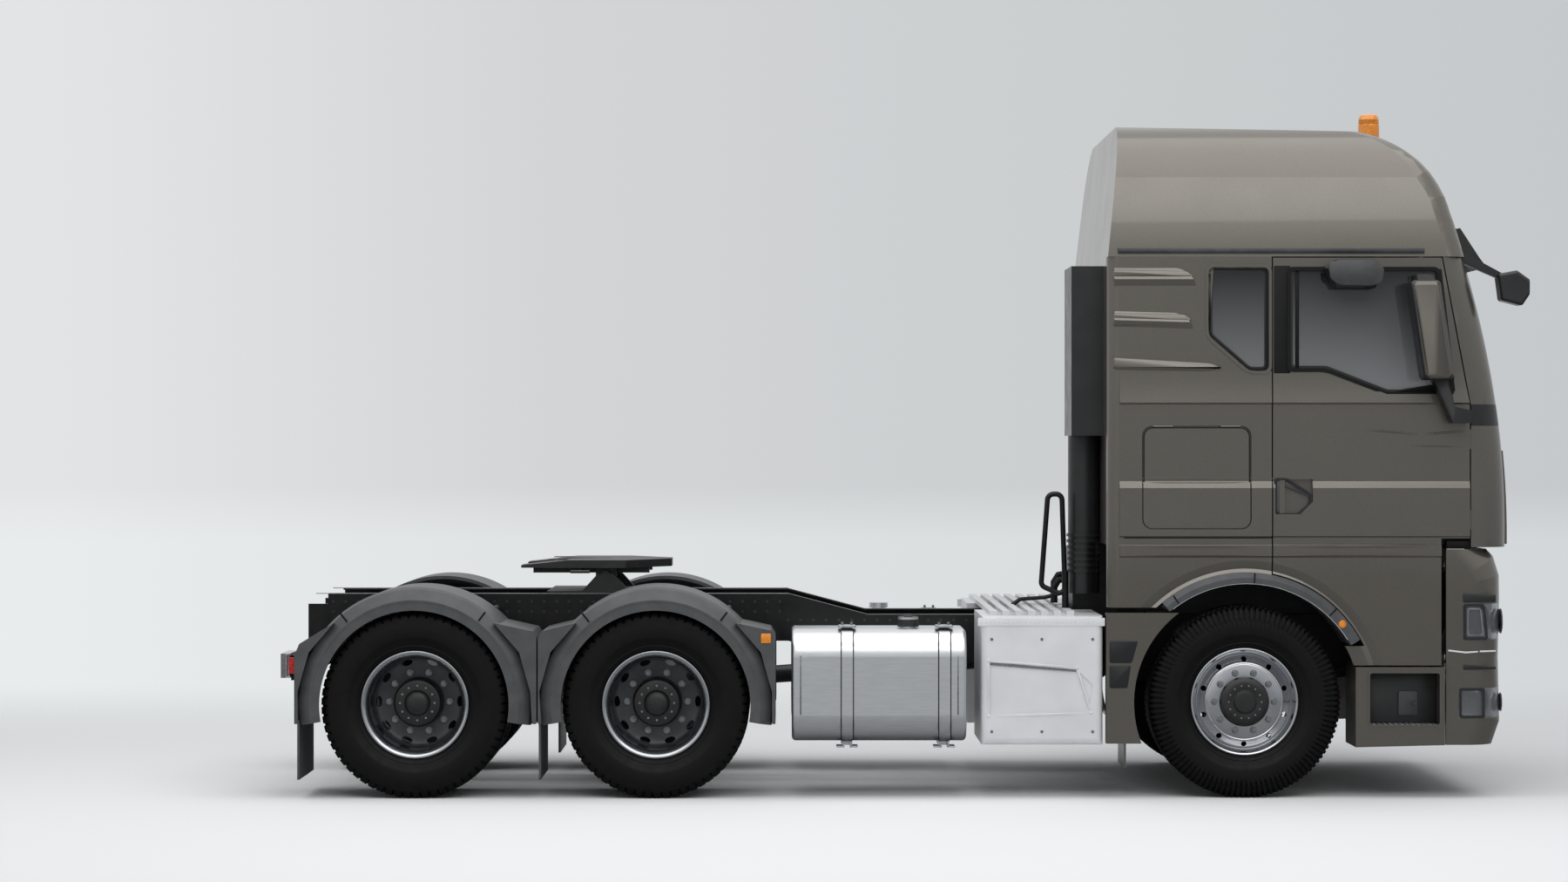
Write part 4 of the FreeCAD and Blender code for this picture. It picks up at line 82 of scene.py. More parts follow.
# %% Node helpers
def linear(hex_value):
    """An sRGB hex colour as linear red, green, blue and alpha."""
    channels = [int(hex_value[index:index + 2], 16) / 255 for index in (1, 3, 5)]
    return [c / 12.92 if c <= 0.04045 else ((c + 0.055) / 1.055) ** 2.4 for c in channels] + [1.0]


def put(tree, kind, links=None, **settings):
    """Adds a node; settings are its attributes or input values, links map an input to an output socket."""
    item = tree.nodes.new(kind)
    for name, value in settings.items():
        if hasattr(item, name):
            setattr(item, name, value)
        else:
            item.inputs[name.replace("_", " ")].default_value = value
    for name, socket in (links or {}).items():
        tree.links.new(socket, item.inputs[name])
    return item


def finish_of(name, slot, base, roughness, metallic=0.0, **extra):
    """A material with these constants on its shader's own sockets; the slot is not used."""
    material = bpy.data.materials.new(name)
    material.use_nodes = True
    tree = material.node_tree
    shader = tree.nodes["Principled BSDF"]
    shader.inputs["Base Color"].default_value = linear(base)
    shader.inputs["Roughness"].default_value = roughness
    shader.inputs["Metallic"].default_value = metallic
    for key, value in extra.items():
        shader.inputs[key.replace("_", " ")].default_value = value
    return material, tree, shader


def object_noise(tree, size_mm, detail=2.0, stretch=(1, 1, 1)):
    """Noise whose grains are about size_mm across, in the object's own coordinates."""
    place = put(tree, "ShaderNodeTexCoord").outputs["Object"]
    scaled = put(tree, "ShaderNodeMapping", {"Vector": place}, Scale=stretch).outputs["Vector"]
    return put(tree, "ShaderNodeTexNoise", {"Vector": scaled}, Scale=1000 / size_mm, Detail=detail).outputs["Fac"]


def vary_color(tree, shader, driver, dark, light, low=0.35, high=0.65):
    """The base colour runs between two hex values as the driver runs from low to high."""
    ramp = put(tree, "ShaderNodeValToRGB", {"Fac": driver})
    for element, place, tone in zip(ramp.color_ramp.elements, (low, high), (dark, light)):
        element.position = place
        element.color = linear(tone)
    tree.links.new(ramp.outputs["Color"], shader.inputs["Base Color"])
    return ramp


def vary_roughness(tree, shader, driver, low, high):
    """The roughness runs from low to high with the driver's middle range."""
    span = put(tree, "ShaderNodeMapRange", {"Value": driver}, From_Min=0.3, From_Max=0.7, To_Min=low, To_Max=high)
    tree.links.new(span.outputs["Result"], shader.inputs["Roughness"])


def add_bump(tree, shader, driver, depth_mm, strength=1.0):
    """Relief of about depth_mm under the shader."""
    bump = put(tree, "ShaderNodeBump", {"Height": driver}, Strength=strength, Distance=depth_mm / 1000)
    tree.links.new(bump.outputs["Normal"], shader.inputs["Normal"])


# %% [markdown]
# **Metallic paint.** The cab wears a warm grey metallic under clear coat. The flakes are far too fine to show at
# this distance, so the sparkle is drawn as a slight mottling some 3 mm across, and a second, hand-wide noise gives
# the gentle unevenness of a large sprayed panel. The coat gives the sharp reflection, the base the soft one.

# %% Metallic cab paint
cab_paint, tree, shader = finish_of("metallic_clearcoat_paint", "cab_paint", "#635F58", 0.32, 0.6,
                                    Coat_Weight=0.5, Coat_Roughness=0.05)
vary_color(tree, shader, object_noise(tree, 3), "#5E5A53", "#68645D")
vary_roughness(tree, shader, object_noise(tree, 300), 0.28, 0.34)

# %% [markdown]
# **Chassis paint.** Frame rails and brackets are dipped and stoved in black: a thick, slightly orange-peeled coat
# with a dusty sheen on top.

# %% Black chassis paint
chassis_paint, tree, shader = finish_of("stoved_black_chassis_paint", "chassis_black", "#08090A", 0.42,
                                       Specular_IOR_Level=0.3)
dust = object_noise(tree, 60, 4)
vary_color(tree, shader, dust, "#060607", "#101112")
vary_roughness(tree, shader, dust, 0.34, 0.5)
add_bump(tree, shader, object_noise(tree, 4), 0.15)

# %% [markdown]
# **Moulded plastic.** Fenders and arch trims are injection moulded in through-coloured polypropylene with an etched
# grain. The real grain is half a millimetre; it is drawn at 2 mm so that it survives at this distance. Covers,
# mirror housings and the window frames are smoother black ABS. Handles, the drip rail and the ramp mirror's back are
# a charcoal ABS between the two, pale enough for their edges to stand out beside the black seals.

# %% Grained plastics
fender_plastic, tree, shader = finish_of("grained_grey_polypropylene", "grey_plastic", "#47484A", 0.5)
vary_color(tree, shader, object_noise(tree, 90, 3), "#434446", "#4C4D4F")
add_bump(tree, shader, object_noise(tree, 2), 0.2)

black_plastic, tree, shader = finish_of("moulded_black_abs", "black_plastic", "#18191A", 0.36)
vary_color(tree, shader, object_noise(tree, 150, 3), "#151617", "#1E1F20")
vary_roughness(tree, shader, object_noise(tree, 120), 0.3, 0.42)
add_bump(tree, shader, object_noise(tree, 2), 0.08)

mirror_plastic, tree, shader = finish_of("grained_charcoal_abs", "black_plastic", "#3A3B3C", 0.45)
vary_color(tree, shader, object_noise(tree, 80, 3), "#363738", "#414243")
add_bump(tree, shader, object_noise(tree, 2), 0.15)

# %% [markdown]
# **Rubber.** Seals are extruded EPDM, a dull, soft black with a faint bloom, and tyres are matt black with faint
# scuffs on the sidewall, so both are rough and vary in patches.

# %% Rubbers
seal_rubber, tree, shader = finish_of("extruded_epdm_rubber", "black_plastic", "#050505", 0.6, Specular_IOR_Level=0.25)
vary_color(tree, shader, object_noise(tree, 40, 3), "#040404", "#0A0A0A")
add_bump(tree, shader, object_noise(tree, 3), 0.1)

tyre_rubber, tree, shader = finish_of("vulcanised_tyre_rubber", "tyre_rubber", "#050505", 0.6, Specular_IOR_Level=0.2)
scuff = object_noise(tree, 45, 4)
vary_color(tree, shader, scuff, "#030303", "#080808")
vary_roughness(tree, shader, scuff, 0.5, 0.66)
add_bump(tree, shader, object_noise(tree, 3), 0.15)

# %% [markdown]
# **Aluminium.** The fuel tank is rolled from brushed sheet, and the brush marks run along the vehicle: they are
# noise stretched along X, fine across the marks and long beside them. The wheels are forged and turned to a
# polish, so their marks are faint. The body panels and the catwalk are powder coated in silver white. Nuts, screws
# and clamps are zinc plated steel, which is greyer than aluminium and changes from one small part to the next.

# %% Aluminium finishes
tank_metal, tree, shader = finish_of("brushed_aluminium_sheet", "brushed_tank", "#D4D6D8", 0.34, 1.0)
marks = object_noise(tree, 3, 3, (0.03, 1, 1))
vary_color(tree, shader, marks, "#CFD1D3", "#D9DBDD")
vary_roughness(tree, shader, marks, 0.32, 0.37)
add_bump(tree, shader, marks, 0.015)

wheel_alloy, tree, shader = finish_of("polished_forged_aluminium", "polished_alloy", "#B2B4B7", 0.24, 1.0)
turning = object_noise(tree, 220)
vary_color(tree, shader, turning, "#AEB0B3", "#B8BABD")
vary_roughness(tree, shader, turning, 0.2, 0.25)

silver_paint, tree, shader = finish_of("silver_powder_coat", "silver_panel", "#DCDDDF", 0.42, 0.1)
vary_color(tree, shader, object_noise(tree, 250), "#D8D9DB", "#E0E1E3")
vary_roughness(tree, shader, object_noise(tree, 200), 0.36, 0.48)
add_bump(tree, shader, object_noise(tree, 3), 0.06)

zinc_plate, tree, shader = finish_of("zinc_plated_steel", "polished_alloy", "#8A8D90", 0.34, 1.0)
vary_color(tree, shader, object_noise(tree, 12, 3), "#7C7F82", "#989B9E")
vary_roughness(tree, shader, object_noise(tree, 20), 0.3, 0.46)

# %% [markdown]
# ** Cast iron.** Axles, hubs and the coupling plate are sand cast and painted black, so their surface is pitted
# under the paint. The wheel discs behind the polished rims are drawn in a dark grey, darker than the rims.

# %% Castings and dark grey discs
casting, tree, shader = finish_of("painted_sand_casting", "cast_iron", "#141517", 0.45)
vary_color(tree, shader, object_noise(tree, 70, 4), "#101112", "#1E1E1F")
add_bump(tree, shader, object_noise(tree, 5, 4), 0.4)

# the wheel discs are drawn a darker grey than the polished rims
dark_disc_finish, tree, shader = finish_of("dark_grey_wheel_disc", "cast_iron", "#4C4D4F", 0.38, 0.4)
vary_color(tree, shader, object_noise(tree, 60, 4), "#464749", "#525355")
vary_roughness(tree, shader, object_noise(tree, 30), 0.36, 0.5)

# %% [markdown]
# ** Glass and lenses.** The side panes are deeply tinted. From outside they read as a dark band at the top that
# lightens to grey at the sill; that band is a painted reflection of the surroundings, drawn as a colour that runs
# with height, in the pane's own coordinates. A little transmission keeps the seats visible as shapes behind it. Lamp
# lenses are clear polycarbonate over reflectors with a vacuum chrome coat, nearly a mirror, so that a lamp looks deep.
# Red and orange lenses are acrylic dyed right through, under a gloss coat.

# %% Glass and lenses
PANE_LOW = 2.26  # the panes' sill and head above the ground, in metres
PANE_HIGH = 2.97

tinted_glass, tree, shader = finish_of("tinted_safety_glass", "clear_glass", "#3A4042", 0.04, 0.0,
                                       Transmission_Weight=0.12, IOR=1.5)
place = put(tree, "ShaderNodeTexCoord").outputs["Object"]
height = put(tree, "ShaderNodeSeparateXYZ", {"Vector": place}).outputs["Z"]
painted_reflection_rise = put(tree, "ShaderNodeMapRange", {"Value": height}, From_Min=PANE_LOW, From_Max=PANE_HIGH)
# painted reflection: the glass's colour runs from grey at the sill to dark at the head
vary_color(tree, shader, painted_reflection_rise.outputs["Result"], "#7C7E80", "#1C1D1E", 0.05, 0.95)
vary_roughness(tree, shader, object_noise(tree, 400), 0.03, 0.06)

lamp_lens, tree, shader = finish_of("clear_polycarbonate_lens", "lamp_lens", "#B9BDC1", 0.08, 0.0,
                                    Transmission_Weight=0.85, IOR=1.58)
vary_roughness(tree, shader, object_noise(tree, 60), 0.05, 0.1)

red_lens, tree, shader = finish_of("red_acrylic_lens", "lamp_lens", "#C21A1C", 0.12, 0.0, IOR=1.49, Coat_Weight=0.6)
vary_color(tree, shader, object_noise(tree, 14), "#A81214", "#D62A2A")

orange_lens, tree, shader = finish_of("orange_acrylic_lens", "orange_lens", "#E5871B", 0.18, 0.0, IOR=1.49,
                                      Coat_Weight=0.5)
vary_color(tree, shader, object_noise(tree, 12), "#D97A12", "#F0982E")

chrome, tree, shader = finish_of("vacuum_chromed_reflector", "lamp_lens", "#D5D8DB", 0.08, 1.0)
vary_roughness(tree, shader, object_noise(tree, 25), 0.05, 0.14)

# %% [markdown]
# **Upholstery.** Seats and bunk wear a coarse flat weave. Its threads are 1.5 mm apart; two waves at right angles
# are drawn at 4 mm so that the weave still shows through the glass.

# %% Woven cloth
seat_cloth, tree, shader = finish_of("woven_seat_cloth", "seat_fabric", "#3A3B3F", 0.85, 0.0, Sheen_Weight=0.3)
place = put(tree, "ShaderNodeTexCoord").outputs["Object"]
along = put(tree, "ShaderNodeTexWave", {"Vector": place}, bands_direction="X", Scale=80.0).outputs["Fac"]
across = put(tree, "ShaderNodeTexWave", {"Vector": place}, bands_direction="Y", Scale=80.0).outputs["Fac"]
weave = put(tree, "ShaderNodeMath", {0: along, 1: across}, operation="MULTIPLY").outputs[0]
vary_color(tree, shader, weave, "#2E2F33", "#4A4B51", 0.1, 0.9)
add_bump(tree, shader, weave, 0.5)

# %% [markdown]
# The record names a slot for each node of the construction, and one finish goes with each slot.

# %% Which finish each node of the construction wears
FINISHES = {
    "cab_paint": cab_paint, "chassis_black": chassis_paint, "grey_plastic": fender_plastic,
    "black_plastic": black_plastic, "brushed_tank": tank_metal, "polished_alloy": wheel_alloy,
    "silver_panel": silver_paint, "cast_iron": casting, "tyre_rubber": tyre_rubber, "clear_glass": tinted_glass,
    "lamp_lens": lamp_lens, "orange_lens": orange_lens, "seat_fabric": seat_cloth,
}
for subpart in frame["record"]["subparts"]:
    mesh = nodes[subpart["node"]].data
    mesh.materials.clear()
    mesh.materials.append(FINISHES[subpart["material_slot"]])

# %% [markdown]
# ## How the pieces are made
# All places below are in millimetres, from the front axle along the vehicle, from its centre plane across, and from
# the ground up, as a workshop drawing gives them. The vehicle's right side has negative places across. A piece is
# drawn once, for the right side, and mirrored for the left.

# %% Drawing helpers
AXLE = 1.894  # the front axle ahead of the vehicle's middle, in metres
WELD = 0.00005  # vertices closer than this, in metres, are one


def at(x, y, z):
    """A place in millimetres as Blender's metres."""
    return Vector((x / 1000 + AXLE, y / 1000, z / 1000))


def everything(form):
    """All vertices, edges and faces of a form."""
    return form.verts[:] + form.edges[:] + form.faces[:]


def set_down(form, place):
    """Moves the whole form from the origin to a place in millimetres."""
    bmesh.ops.translate(form, vec=at(*place), verts=form.verts)


def turn(form, verts, degrees, axis):
    """Turns vertices about an axis through the origin."""
    bmesh.ops.rotate(form, cent=(0, 0, 0), matrix=Matrix.Rotation(math.radians(degrees), 3, axis), verts=verts)


def finish_piece(name, form, finish, body, mirrored=False, sharp=33):
    """Turns a finished form into a piece of the vehicle, on both sides if it is mirrored."""
    if mirrored:
        bmesh.ops.mirror(form, geom=everything(form), axis="Y", merge_dist=0)
    bmesh.ops.recalc_face_normals(form, faces=form.faces)
    mesh = bpy.data.meshes.new(name)
    form.to_mesh(mesh)
    form.free()
    mesh.shade_smooth()
    mesh.set_sharp_from_angle(angle=math.radians(sharp))
    mesh.materials.append(finish)
    piece = bpy.data.objects.new(name, mesh)
    bpy.context.scene.collection.objects.link(piece)
    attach(piece, body)
    return piece


def finish_pair(name, build, finish, bodies, stands_for=None):
    """The same form on a right-hand and a left-hand body, the second turned over; stands_for is the pair of nodes of
    the construction that it is drawn in place of."""
    pieces = []
    for side, body in zip(("right", "left"), bodies):
        form = bmesh.new()
        build(form)
        if side == "left":
            bmesh.ops.scale(form, vec=(1, -1, 1), verts=form.verts)
        pieces.append(finish_piece(f"{name}_{side}", form, finish, body))
        if stands_for:
            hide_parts(f"{stands_for}_{side}")
    return pieces


def add_block(form, low, high, rounding=0.0, steps=2):
    """A block between two corners, with rounded edges."""
    made = bmesh.ops.create_cube(form, size=1)["verts"]
    bmesh.ops.scale(form, vec=at(*high) - at(*low), verts=made)
    bmesh.ops.translate(form, vec=(at(*low) + at(*high)) / 2, verts=made)
    if rounding:
        edges = list({edge for vert in made for edge in vert.link_edges})
        made = bmesh.ops.bevel(form, geom=edges, offset=rounding / 1000, segments=steps, profile=0.5,
                               affect="EDGES", material=-1)["verts"]
    return made


def add_rod(form, start, end, radius, tip=None, sides=24):
    """A round bar between two places; with a tip radius it tapers."""
    start = at(*start)
    along = at(*end) - start
    made = bmesh.ops.create_cone(form, cap_ends=True, segments=sides, radius1=radius / 1000,
                                 radius2=(radius if tip is None else tip) / 1000, depth=along.length)["verts"]
    bmesh.ops.rotate(form, cent=(0, 0, 0), matrix=along.to_track_quat("Z", "Y").to_matrix(), verts=made)
    bmesh.ops.translate(form, vec=start + along / 2, verts=made)
    return made


def add_loop(form, outline, place, rounding=0.0, steps=4):
    """A closed outline of edges seen from the side, with rounded corners."""
    verts = [form.verts.new(at(x, place, z)) for x, z in outline]
    edges = [form.edges.new((vert, verts[index - 1])) for index, vert in enumerate(verts)]
    if rounding:
        edges = bmesh.ops.bevel(form, geom=verts, offset=rounding / 1000, segments=steps, profile=0.5,
                                affect="VERTICES", material=-1)["edges"]
        ring = {edge for edge in edges if edge.is_valid}
        frontier = list(ring)
        while frontier:
            edge = frontier.pop()
            for vert in edge.verts:
                for near in vert.link_edges:
                    if near not in ring:
                        ring.add(near)
                        frontier.append(near)
        edges = list(ring)
    return edges


def add_depth(form, faces, depth):
    """Gives flat faces a thickness across the vehicle; returns the vertices of the outer side."""
    grown = bmesh.ops.extrude_face_region(form, geom=faces)["geom"]
    outer = [item for item in grown if isinstance(item, bmesh.types.BMVert)]
    bmesh.ops.translate(form, vec=(0, depth / 1000, 0), verts=outer)
    return outer


def add_plate(form, outline, place, depth, rounding=0.0, edge=0.0):
    """A plate seen from the side; depth is its thickness, negative towards the vehicle's right."""
    edges = add_loop(form, outline, place, rounding)
    faces = bmesh.ops.contextual_create(form, geom=edges)["faces"]
    outer = add_depth(form, faces, depth)
    if edge:
        rim = {line for vert in outer for line in vert.link_edges if line.other_vert(vert) in set(outer)}
        bmesh.ops.bevel(form, geom=list(rim), offset=edge / 1000, segments=2, profile=0.5, affect="EDGES",
                        material=-1)
    return outer


def add_frame(form, outer, inner, place, depth, rounding=0.0, inner_rounding=None):
    """A flat frame between two outlines with as many corners each, seen from the side."""
    first = add_loop(form, outer, place, rounding)
    second = add_loop(form, inner, place, rounding if inner_rounding is None else inner_rounding)
    faces = bmesh.ops.bridge_loops(form, edges=first + second)["faces"]
    return add_depth(form, faces, depth)


def turn_about_axle(form, profile, steps=96, angle=360.0):
    """Spins a profile of radius and outboard place, in millimetres, about the Y axis; outboard is minus Y."""
    verts = [form.verts.new((radius / 1000, -out / 1000, 0)) for radius, out in profile]
    edges = [form.edges.new(pair) for pair in zip(verts, verts[1:])]
    bmesh.ops.spin(form, geom=verts + edges, cent=(0, 0, 0), axis=(0, 1, 0), angle=math.radians(angle), steps=steps,
                   use_merge=angle == 360.0)


def repeat_about_axle(form, count):
    """Copies everything in the form round the Y axis, evenly."""
    bmesh.ops.spin(form, geom=everything(form), cent=(0, 0, 0), axis=(0, 1, 0),
                   angle=math.radians(360 * (count - 1) / count), steps=count - 1, use_duplicate=True)


def add_tube(form, places, radius, sides=12):
    """A bent pipe: a circle that is pushed along the places and turned half-way into each bend."""
    spots = [at(*place) for place in places]
    heading = (spots[1] - spots[0]).normalized()
    ring = bmesh.ops.create_circle(form, cap_ends=True, radius=radius / 1000, segments=sides)["verts"]
    bmesh.ops.rotate(form, cent=(0, 0, 0), matrix=heading.to_track_quat("Z", "Y").to_matrix(), verts=ring)
    bmesh.ops.translate(form, vec=spots[0], verts=ring)
    start = [face for face in form.faces if all(vert in ring for vert in face.verts)]
    for index in range(1, len(spots)):
        grown = bmesh.ops.extrude_face_region(form, geom=start)["geom"]
        if index > 1:
            bmesh.ops.delete(form, geom=start, context="FACES_ONLY")
        ring = [item for item in grown if isinstance(item, bmesh.types.BMVert)]
        start = [item for item in grown if isinstance(item, bmesh.types.BMFace)]
        bmesh.ops.translate(form, vec=spots[index] - spots[index - 1], verts=ring)
        following = (spots[min(index + 1, len(spots) - 1)] - spots[index - 1]).normalized()
        bmesh.ops.rotate(form, cent=spots[index], matrix=heading.rotation_difference(following).to_matrix(),
                         verts=ring)
        heading = following


# %% [markdown]
# ## Tyres
# A truck tyre is one carcass with some sixty to a hundred equal tread blocks round it, so only one pitch is drawn:
# the section is spun through one pitch, two of its columns are pushed in as a groove, and the pitch is then copied
# round the axle and welded. The steered tyres have fine slits in the shoulder, the driven ones wider lugs.

# %% Tyres
CENTRES = {"front": (0, -1040, 538), "front_drive": (-3300, -907.5, 524), "rear_drive": (-4650, -907.5, 524)}
TWIN = 172.5  # half the distance between the middles of twin wheels
STEER_SECTION = [
    (538, 0), (538, 22), (526, 25), (526, 33), (538, 36), (538, 72), (526, 75), (526, 83), (538, 86), (538, 118),
    (535, 127), (527, 136), (508, 145), (490, 149), (478, 150.5), (475, 153), (445, 156.5), (415, 157), (386, 154.5),
    (372, 152.5), (369, 150), (350, 145.5), (334, 138.5), (330, 139.5), (322, 133), (314, 125), (308, 119),
    (298, 116), (286, 115),
]
DRIVE_SECTION = [
    (524, 0), (524, 40), (510, 43), (510, 52), (524, 55), (524, 118), (521, 127), (512, 137), (497, 144),
    (486, 148.5), (472, 151), (440, 155.5), (412, 157), (384, 154.5), (370, 152.5), (367, 150), (348, 145.5),
    (334, 138.5), (330, 139.5), (322, 133), (314, 125), (308, 119), (298, 116), (286, 115),
]
COLUMNS = 4  # steps of the spin in one pitch
GROOVE_COLUMNS = (2, 3)  # the two that are pushed in
SHOULDER = 0.084  # where the slits begin, out from the tyre's middle plane, in metres


def add_tyre(form, section, pitches, groove, depth, reach):
    """One tyre round the origin; groove is its width in degrees, depth and reach its depth and inner radius."""
    pitch = 360 / pitches
    profile = [(radius, -out) for radius, out in reversed(section[1:])] + section
    turn_about_axle(form, profile, COLUMNS, pitch)
    lines = [[] for column in range(COLUMNS + 1)]
    for vert in form.verts:
        turned = abs(math.degrees(math.atan2(vert.co.z, vert.co.x)))
        lines[round(COLUMNS * turned / pitch)].append(vert)
    places = (0, pitch - groove, pitch - groove * 0.85, pitch - groove * 0.15, pitch)
    deeper = 1 - depth / section[0][0]
    for column, (line, place) in enumerate(zip(lines, places)):
        swing = Matrix.Rotation(math.radians(place - column * pitch / COLUMNS), 3, "Y")
        bmesh.ops.rotate(form, cent=(0, 0, 0), matrix=swing, verts=line)
        if column in GROOVE_COLUMNS:
            slit = [vert for vert in line
                    if math.hypot(vert.co.x, vert.co.z) > reach / 1000 and abs(vert.co.y) > SHOULDER]
            bmesh.ops.scale(form, vec=(deeper, 0.95, deeper), verts=slit)
    repeat_about_axle(form, pitches)
    bmesh.ops.remove_doubles(form, verts=form.verts, dist=0.0001)


def steer_tyre(form):
    add_tyre(form, STEER_SECTION, pitches=104, groove=1.6, depth=15, reach=474)
    set_down(form, CENTRES["front"])


def drive_tyres(axle):
    """Both tyres of a twin wheel, drawn as one piece."""
    def build(form):
        add_tyre(form, DRIVE_SECTION, pitches=62, groove=1.7, depth=12, reach=492)
        twin = bmesh.ops.duplicate(form, geom=everything(form))["geom"]
        copied = [item for item in twin if isinstance(item, bmesh.types.BMVert)]
        bmesh.ops.translate(form, vec=(0, 2 * TWIN / 1000, 0), verts=copied)
        bmesh.ops.translate(form, vec=at(*CENTRES[axle]) - Vector((0, TWIN / 1000, 0)), verts=form.verts)
    return build


def wheels(axle):
    """The names of an axle's two wheel bodies."""
    return f"{axle}_wheel_right", f"{axle}_wheel_left"


finish_pair("steer_tyre", steer_tyre, tyre_rubber, wheels("front"), "front_tyre")
for axle in ("front_drive", "rear_drive"):
    finish_pair(f"{axle}_tread", drive_tyres(axle), tyre_rubber, wheels(axle), f"{axle}_tyres")

# %% [markdown]
# ## Wheels
# The rims are forged in one piece with their disc and turned afterwards, so a spun section is their true form. The
# hand holes are drilled, and a Boolean drills them here. On the front wheel the disc lies near the outside; twin
# wheels meet back to back, so the outer disc lies deep inside a long barrel. There only the rim has the polished
# finish, and the disc is drawn in dark grey.


# %% Drilling and nuts
def carve(form, tool):
    """Cuts one closed form out of another."""
    pair = []
    for part in (form, tool):
        bmesh.ops.remove_doubles(part, verts=part.verts, dist=WELD)
        bmesh.ops.recalc_face_normals(part, faces=part.faces)
        mesh = bpy.data.meshes.new("carving")
        part.to_mesh(mesh)
        pair.append(bpy.data.objects.new("carving", mesh))
        bpy.context.scene.collection.objects.link(pair[-1])
    cut = pair[0].modifiers.new("cut", "BOOLEAN")
    cut.solver = "EXACT"
    cut.object = pair[1]
    result = pair[0].evaluated_get(bpy.context.evaluated_depsgraph_get())
    form.clear()
    form.from_mesh(result.to_mesh())
    for item in pair:
        bpy.data.objects.remove(item)
    tool.free()


def add_stub(form, radius, start, end, thickness, tip=None, sides=6):
    """A short bar parallel to the axle, at a radius, between two outboard places."""
    made = bmesh.ops.create_cone(form, cap_ends=True, segments=sides, radius1=thickness / 1000,
                                 radius2=(thickness if tip is None else tip) / 1000,
                                 depth=(end - start) / 1000)["verts"]
    turn(form, made, 90, "X")
    bmesh.ops.translate(form, vec=(radius / 1000, -(start + end) / 2000, 0), verts=made)
    return made


def nut_ring(centre, radius, seat, count=10):
    """Wheel nuts: a washer, a hexagon and the end of the stud."""
    def build(form):
        add_stub(form, radius, seat, seat + 4, 20, 19, 24)
        add_stub(form, radius, seat + 4, seat + 24, 17.5, 16, 6)
        add_stub(form, radius, seat + 24, seat + 30, 10, 8.5, 12)
        repeat_about_axle(form, count)
        set_down(form, centre)
    return build


def bolt_ring(centre, radius, seat, count, size):
    """Hexagon heads, evenly round the hub."""
    def build(form):
        add_stub(form, radius, seat, seat + size * 0.9, size, size * 0.85, 6)
        repeat_about_axle(form, count)
        set_down(form, centre)
    return build


def turned(centre, profile, steps=96):
    """A spun form with its axis closed."""
    def build(form):
        turn_about_axle(form, profile, steps)
        bmesh.ops.remove_doubles(form, verts=form.verts, dist=WELD)
        set_down(form, centre)
    return build


# %% [markdown]
# **Front wheels.** The rim's lip is rolled outwards to hold the tyre's bead, and the drop well between the lips lets
# the tyre be fitted. The section runs once round both. The ten hand holes lie half-way between the ten nuts.

# %% Front wheels
STEER_RIM = [
    (286, 115), (302.7, 115.5), (303, 122), (300, 127), (295, 128.3), (289, 126), (284, 119), (279.5, 108),
    (275, 92), (271, 78), (266, 72), (258, 74), (246, 84), (232, 95), (225, 100), (222.5, 105), (218.5, 109),
    (213.5, 111), (210, 109.5), (203, 112), (137, 112), (137, 98), (205, 98), (228, 84), (250, 62), (264, 50),
    (268, 20), (270, -60), (271, -105), (277, -118), (284, -126), (293, -128.3), (302, -126), (302.7, -115.5),
    (286, -115), (282, -90), (279, -60), (279, 60), (282, 95), (286, 115),
]
STEER_HUB = [
    (0, 168), (40, 168), (56, 166), (62, 160), (63, 150.5), (70, 149), (74, 150), (106, 150), (122, 147),
    (133, 140), (138, 128), (140, 113), (140, 60),
]


def steer_rim(form):
    """The spun rim, with hand holes drilled through its disc."""
    turn_about_axle(form, STEER_RIM, 120)
    drill = bmesh.new()
    add_stub(drill, 238, 40, 140, 15.5, sides=20)
    repeat_about_axle(drill, 10)
    turn(drill, drill.verts, 18, "Y")
    carve(form, drill)
    set_down(form, CENTRES["front"])


def steer_valve(form):
    add_stub(form, 262, 76, 112, 5, 4.5, 10)
    add_stub(form, 262, 112, 122, 6, 5.5, 10)
    set_down(form, CENTRES["front"])


steered = wheels("front")
finish_pair("steer_rim", steer_rim, wheel_alloy, steered, "front_rim")
finish_pair("steer_nuts", nut_ring(CENTRES["front"], 167.5, 112), zinc_plate, steered)
finish_pair("steer_hub", turned(CENTRES["front"], STEER_HUB), casting, steered)
finish_pair("steer_hub_bolts", bolt_ring(CENTRES["front"], 92, 149, 14, 6.5), zinc_plate, steered)
finish_pair("steer_valve", steer_valve, zinc_plate, steered)

# %% [markdown]
# ** Driven wheels.** Rim and disc are drawn apart here, since the rim is polished and the disc is dark grey. Their hand
# holes are slots, so the drill is a rod that is stretched along the wheel's circumference.

# %% Driven wheels
DRIVE_RIM = [
    (286, 287.5), (302.7, 288), (303, 294), (300, 299), (295, 300.5), (290, 299.5), (285, 296), (279, 290),
    (272, 281), (266, 271), (262, 258), (260, 240), (259, 190), (258, 120), (257, 62), (256, 40), (264, 36),
    (272, 60), (276, 120), (278, 190), (281, 260), (286, 287.5),
]
DRIVE_DISC = [
    (264, 38), (258, 41), (250, 30), (240, 22), (225, 18), (205, 17.2), (139, 17.2), (139, 2.5), (226, 2.5),
    (244, 6), (258, 20), (264, 38),
]
DRIVE_HUB = [
    (0, 183), (28, 182), (50, 177), (64, 169), (70, 158), (74, 151), (82, 150), (112, 150), (126, 146), (134, 136),
    (138, 110), (140, 60), (140, 18),
]


def both_ways(form):
    """Twin wheels are one form, turned over about the wheel's own middle plane."""
    bmesh.ops.remove_doubles(form, verts=form.verts, dist=WELD)
    bmesh.ops.mirror(form, geom=everything(form), axis="Y", merge_dist=0)


def drive_rims(axle):
    def build(form):
        turn_about_axle(form, DRIVE_RIM, 120)
        both_ways(form)
        set_down(form, CENTRES[axle])
    return build


